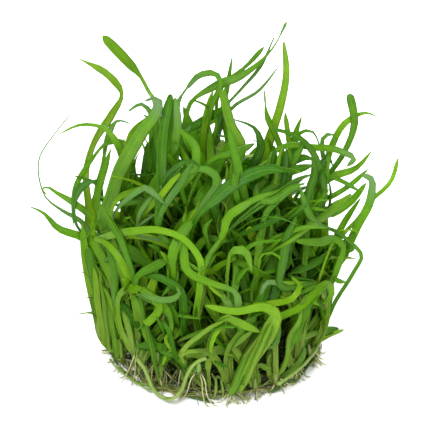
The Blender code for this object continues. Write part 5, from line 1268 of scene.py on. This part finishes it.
def mat_felt(growth):
    """The dense heart of the root mat: a low, lumpy, matted round with a level underside."""
    made = bmesh.ops.create_uvsphere(growth.bm, u_segments=80, v_segments=26, radius=1.0, calc_uvs=True)
    for vert in made["verts"]:
        place = Vector((vert.co.x * FELT_RADIUS, vert.co.y * FELT_RADIUS, 0.0))
        lump = noise.noise(place * 0.33) + 0.6 * noise.noise(place * 0.9)
        reach = 1.0 + 0.07 * noise.noise(place * 0.12 + Vector((0.0, 0.0, 5.0)))
        rise = 0.0 if vert.co.z < 0.0 else (1.6 + 0.9 * lump) * min(1.0, 2.2 * vert.co.z)
        vert.co = Vector((place.x * reach, place.y * reach, FELT_LOW + max(0.0, rise))) * MM
        vert[growth.tint] = toned(FELT_TONE)
    smooth_faces(made["verts"])
    bmesh.ops.remove_doubles(growth.bm, verts=made["verts"], dist=FELT_SEAM)


def weave_mat(strand, root):
    """The root mat: its dense heart, the strands woven round it, and the fine roots through them."""
    rng = random.Random(SEED)
    growth = Growth()
    mat_felt(growth)
    for k in range(STRANDS):
        radius = mixed(*STRAND_RADII, (k / STRANDS) ** 0.6)
        start = rng.uniform(0.0, ROUND)
        span = rng.uniform(0.5, 1.5)
        thickness = rng.uniform(0.45, 1.0)
        low = mixed(2.6, 1.2, eased(20.0, 29.0, radius)) + rng.uniform(-0.6, 0.6)
        weave_strand(growth, rng, radius, start, span, low, thickness, rng.uniform(0.0, 1.0) ** 1.6)
    for _ in range(RIM_STRANDS):
        weave_strand(growth, rng, rng.uniform(*RIM_RADII), rng.uniform(0.0, ROUND), rng.uniform(0.3, 0.9),
                     rng.uniform(0.5, 2.2), rng.uniform(0.5, 1.0), rng.uniform(0.2, 1.0))
    for _ in range(LITTER):
        litter_strand(growth, rng)
    finished_piece("root_weave", growth.bm, [strand], ["root_mat"])

    growth = Growth()
    for _ in range(MAT_ROOTS):
        angle = rng.uniform(0.0, ROUND)
        foot = level_ways(angle)[0] * rng.uniform(10.0, 27.0)
        foot.z = rng.uniform(0.5, 1.6)
        root_from(growth, rng, foot, angle + rng.uniform(-1.2, 1.2), rng.uniform(3.0, 7.0),
                  rng.uniform(0.2, 0.42), rng.uniform(0.1, 0.9))
    finished_piece("mat_roots", growth.bm, [root])


def hanging_strands(growth, crowns, table):
    """Strands laid where the front view shows them, from a crown, or from the mat, down to the floor."""
    for high, low, tone, places in table:
        points = [floor_point(across, up, max(off_floor(width), mixed(high, low, k / (len(places) - 1))))
                  for k, (across, up, width) in enumerate(places)]
        widths = [width for across, up, width in places]
        if high > HUNG_HEIGHT:
            points.insert(0, min((crown + CROWN_MIDDLE for crown in crowns), key=lambda c: (c - points[0]).length))
            widths.insert(0, widths[0])
        lay_strand(growth, points, widths, 7, 4 * len(points), tone)


def foot_stems(crowns, runner):
    """The green stems that hang from the crowns and lie along the rim."""
    growth = Growth()
    hanging_strands(growth, crowns, SEEN_STEMS)
    finished_piece("foot_stems", growth.bm, [runner])


def crown_roots(crowns, root):
    """The roots that splay from the crowns on to the floor, more and longer round the rim."""
    rng = random.Random(SEED + 1)
    growth = Growth()
    for foot in crowns:
        outward = math.atan2(foot.y, foot.x)
        if foot.z > HUNG_HEIGHT:
            for _ in range(HUNG_ROOTS):
                hung_root(growth, rng, foot, outward + rng.uniform(-2.4, 2.4), rng.uniform(1.5, 6.5),
                          rng.uniform(0.25, 0.55), rng.uniform(0.0, 0.9) ** 1.4)
        elif math.hypot(foot.x, foot.y) > RIM_RADIUS - SPLAYED_BAND:
            for _ in range(rng.randint(4, 7)):
                side = rng.uniform(-1.0, 1.0)
                reach = mixed(4.6, 2.6, 1.0 - abs(side)) + rng.uniform(0.0, 2.4)
                root_from(growth, rng, foot, outward + 1.7 * side, reach, rng.uniform(0.28, 0.55),
                          rng.uniform(0.25, 1.0))
        else:
            for _ in range(INNER_ROOTS):
                root_from(growth, rng, foot, rng.uniform(0.0, 6.28), rng.uniform(3.0, 6.0),
                          rng.uniform(0.25, 0.45), rng.uniform(0.2, 0.9))
    for across, up, thickness, tone in SEEN_ROOTS:
        end = floor_point(across, up, 0.4)
        near = min(crowns, key=lambda c: (Vector((c.x, c.y, 0.0)) - end).length)
        way = Vector((end.x - near.x, end.y - near.y, 0.0))
        root_from(growth, rng, near, math.atan2(way.y, way.x), max(2.5, way.length), thickness, tone)
    hanging_strands(growth, crowns, SEEN_ROOTLETS)
    finished_piece("crown_roots", growth.bm, [root])


def runner_strand(node, runner):
    """A runner: its solid made smooth and round, and a little thinner."""
    bm = merged_solid(node)
    bmesh.ops.subdivide_edges(bm, edges=bm.edges[:], cuts=1, use_grid_fill=True, smooth=0.6)
    bmesh.ops.smooth_vert(bm, verts=bm.verts, factor=0.4, use_axis_x=True, use_axis_y=True, use_axis_z=True)
    bmesh.ops.recalc_face_normals(bm, faces=bm.faces)
    bm.normal_update()
    for vert in bm.verts:
        vert.co -= vert.normal * (RUNNER_TRIM * MM)
    smooth_faces(bm.verts)
    tint = bm.verts.layers.float_color.new("growth")
    bm.verts.layers.float.new("pale")
    for vert in bm.verts:
        vert[tint] = toned(RUNNER_TONE)
    finished_piece(node + "_strand", bm, [runner], [node])


# The clump, the light and the view

def grow_plantlets(finishes):
    """Every plantlet: its solid's leaves with their sheaths, small leaves beside them, and its crown."""
    plantlets = {node: leaves_of(node) for node in sorted(frame["nodes"]) if node.startswith("plantlet")}
    every_leaf = [leaf for foot, leaves in plantlets.values() for leaf in leaves]
    seen = seen_leaves(random.Random(SEED + 2), plantlets)
    crowns = []
    for node, (foot, leaves) in plantlets.items():
        rng = random.Random(node)
        at_front = foot.y < FRONT_LINE
        at_rim = math.hypot(foot.x, foot.y) > RIM_RADIUS - PALE_BAND
        shady = on_plot(foot, SHADY_PLOT)
        hung = on_plot(foot, HUNG_PLOT)
        growth = Growth()
        for leaf in leaves:
            look = leaf_look(rng, leaf.tip)
            look.hung = hung
            pale_to = rng.uniform(24.0, 42.0) if at_rim and not shady else rng.uniform(10.0, 24.0)
            grow_leaf(growth, rng, leaf, look, LEAF_ROUND, pale_to)
            # Sheaths on the shady plot are painted darker, with short pale feet, as painted shade
            wrap = LeafLook(rng, rng.uniform(0.1, 0.5) if shady else rng.uniform(0.35, 0.8), rng.uniform(0.3, 0.7))
            wrap.cup = SHEATH_CUP
            wrap.hung = hung
            grow_leaf(growth, rng, sheath(rng, leaf), wrap, SMALL_ROUND,
                      rng.uniform(4.0, 16.0) if shady else rng.uniform(20.0, 34.0))
        for leaf in leaves:
            if at_front and leaf.length > LONE_LENGTH:
                continue
            for _ in range(1 if at_front else SISTERS):
                sister = fitting_sister(rng, leaf, every_leaf, rng.uniform(1.9, 3.4))
                if sister:
                    look = leaf_look(rng, sister.tip)
                    grow_leaf(growth, rng, sister, look, SMALL_ROUND, rng.uniform(14.0, 30.0))
        for line, look in seen[node]:
            grow_leaf(growth, rng, line, look, LEAF_ROUND, 0.3 * line.length)
        if hung:
            feet = [leaf.at(HUNG_CLIMB / leaf.length)[0] for leaf in leaves]
            foot = sum(feet, Vector()) / len(feet) - CROWN_MIDDLE
        crown_stock(growth, rng, foot)
        crowns.append(foot)
        finished_piece(node + "_leaves", growth.bm, finishes, [node])
    return crowns


def pale_floor():
    """A plain pale floor, wide enough to fill the view."""
    bm = bmesh.new()
    bmesh.ops.create_grid(bm, x_segments=1, y_segments=1, size=FLOOR_HALF)
    mesh = bpy.data.meshes.new("floor")
    bm.to_mesh(mesh)
    bm.free()
    finish = Finish("floor")
    finish.feed(finish.shader.inputs["Base Color"], (0.94, 0.94, 0.94))
    finish.shader.inputs["Roughness"].default_value = 0.8
    mesh.materials.append(finish.material)
    floor = bpy.data.objects.new("floor", mesh)
    bpy.context.scene.collection.objects.link(floor)


def light_and_view():
    """Soft studio light, and a camera where the photo was taken from."""
    scene = bpy.context.scene
    scene.view_settings.view_transform = "Standard"
    scene.world = bpy.data.worlds.new("studio")
    scene.world.use_nodes = True
    studio = scene.world.node_tree.nodes["Background"].inputs
    studio[0].default_value = (1.0, 1.0, 1.0, 1.0)
    studio[1].default_value = STUDIO_LIGHT
    for name, place, size, power in SOFT_LIGHTS:
        light = bpy.data.lights.new(name, "AREA")
        light.size = size
        light.energy = power
        lamp = bpy.data.objects.new(name, light)
        lamp.location = place
        lamp.rotation_euler = (LIT_PLACE - Vector(place)).to_track_quat("-Z", "Y").to_euler()
        scene.collection.objects.link(lamp)
    lens = bpy.data.cameras.new("view")
    lens.sensor_width = SENSOR
    lens.lens = SENSOR * VIEW_DISTANCE / VIEW_WIDTH
    lens.clip_start = 0.01
    camera = bpy.data.objects.new("view", lens)
    camera.location = EYE * MM
    camera.rotation_euler = (math.radians(90.0) - VIEW_TILT, 0.0, 0.0)
    scene.collection.objects.link(camera)
    scene.camera = camera


light_and_view()
pale_floor()
crowns = grow_plantlets([leaf_finish(), crown_finish()])
woven_strand = strand_finish("woven_strand", 0.5, [
    (0.0, (0.016, 0.050, 0.006)), (0.4, (0.045, 0.095, 0.014)), (0.7, (0.130, 0.155, 0.032)),
    (1.0, (0.250, 0.260, 0.090))])
root_skin = strand_finish("root", 0.5, [
    (0.0, (0.070, 0.075, 0.022)), (0.4, (0.170, 0.185, 0.058)), (0.7, (0.290, 0.325, 0.115)),
    (1.0, (0.540, 0.570, 0.330))])
runner_skin = strand_finish("runner_skin", 0.35, [
    (0.0, (0.035, 0.085, 0.012)), (0.5, (0.140, 0.235, 0.035)), (1.0, (0.300, 0.380, 0.120))])
weave_mat(woven_strand, root_skin)
crown_roots(crowns, root_skin)
foot_stems(crowns, runner_skin)
for number in (1, 2, 3):
    runner_strand(f"runner_{number}", runner_skin)

bpy.context.view_layer.update()
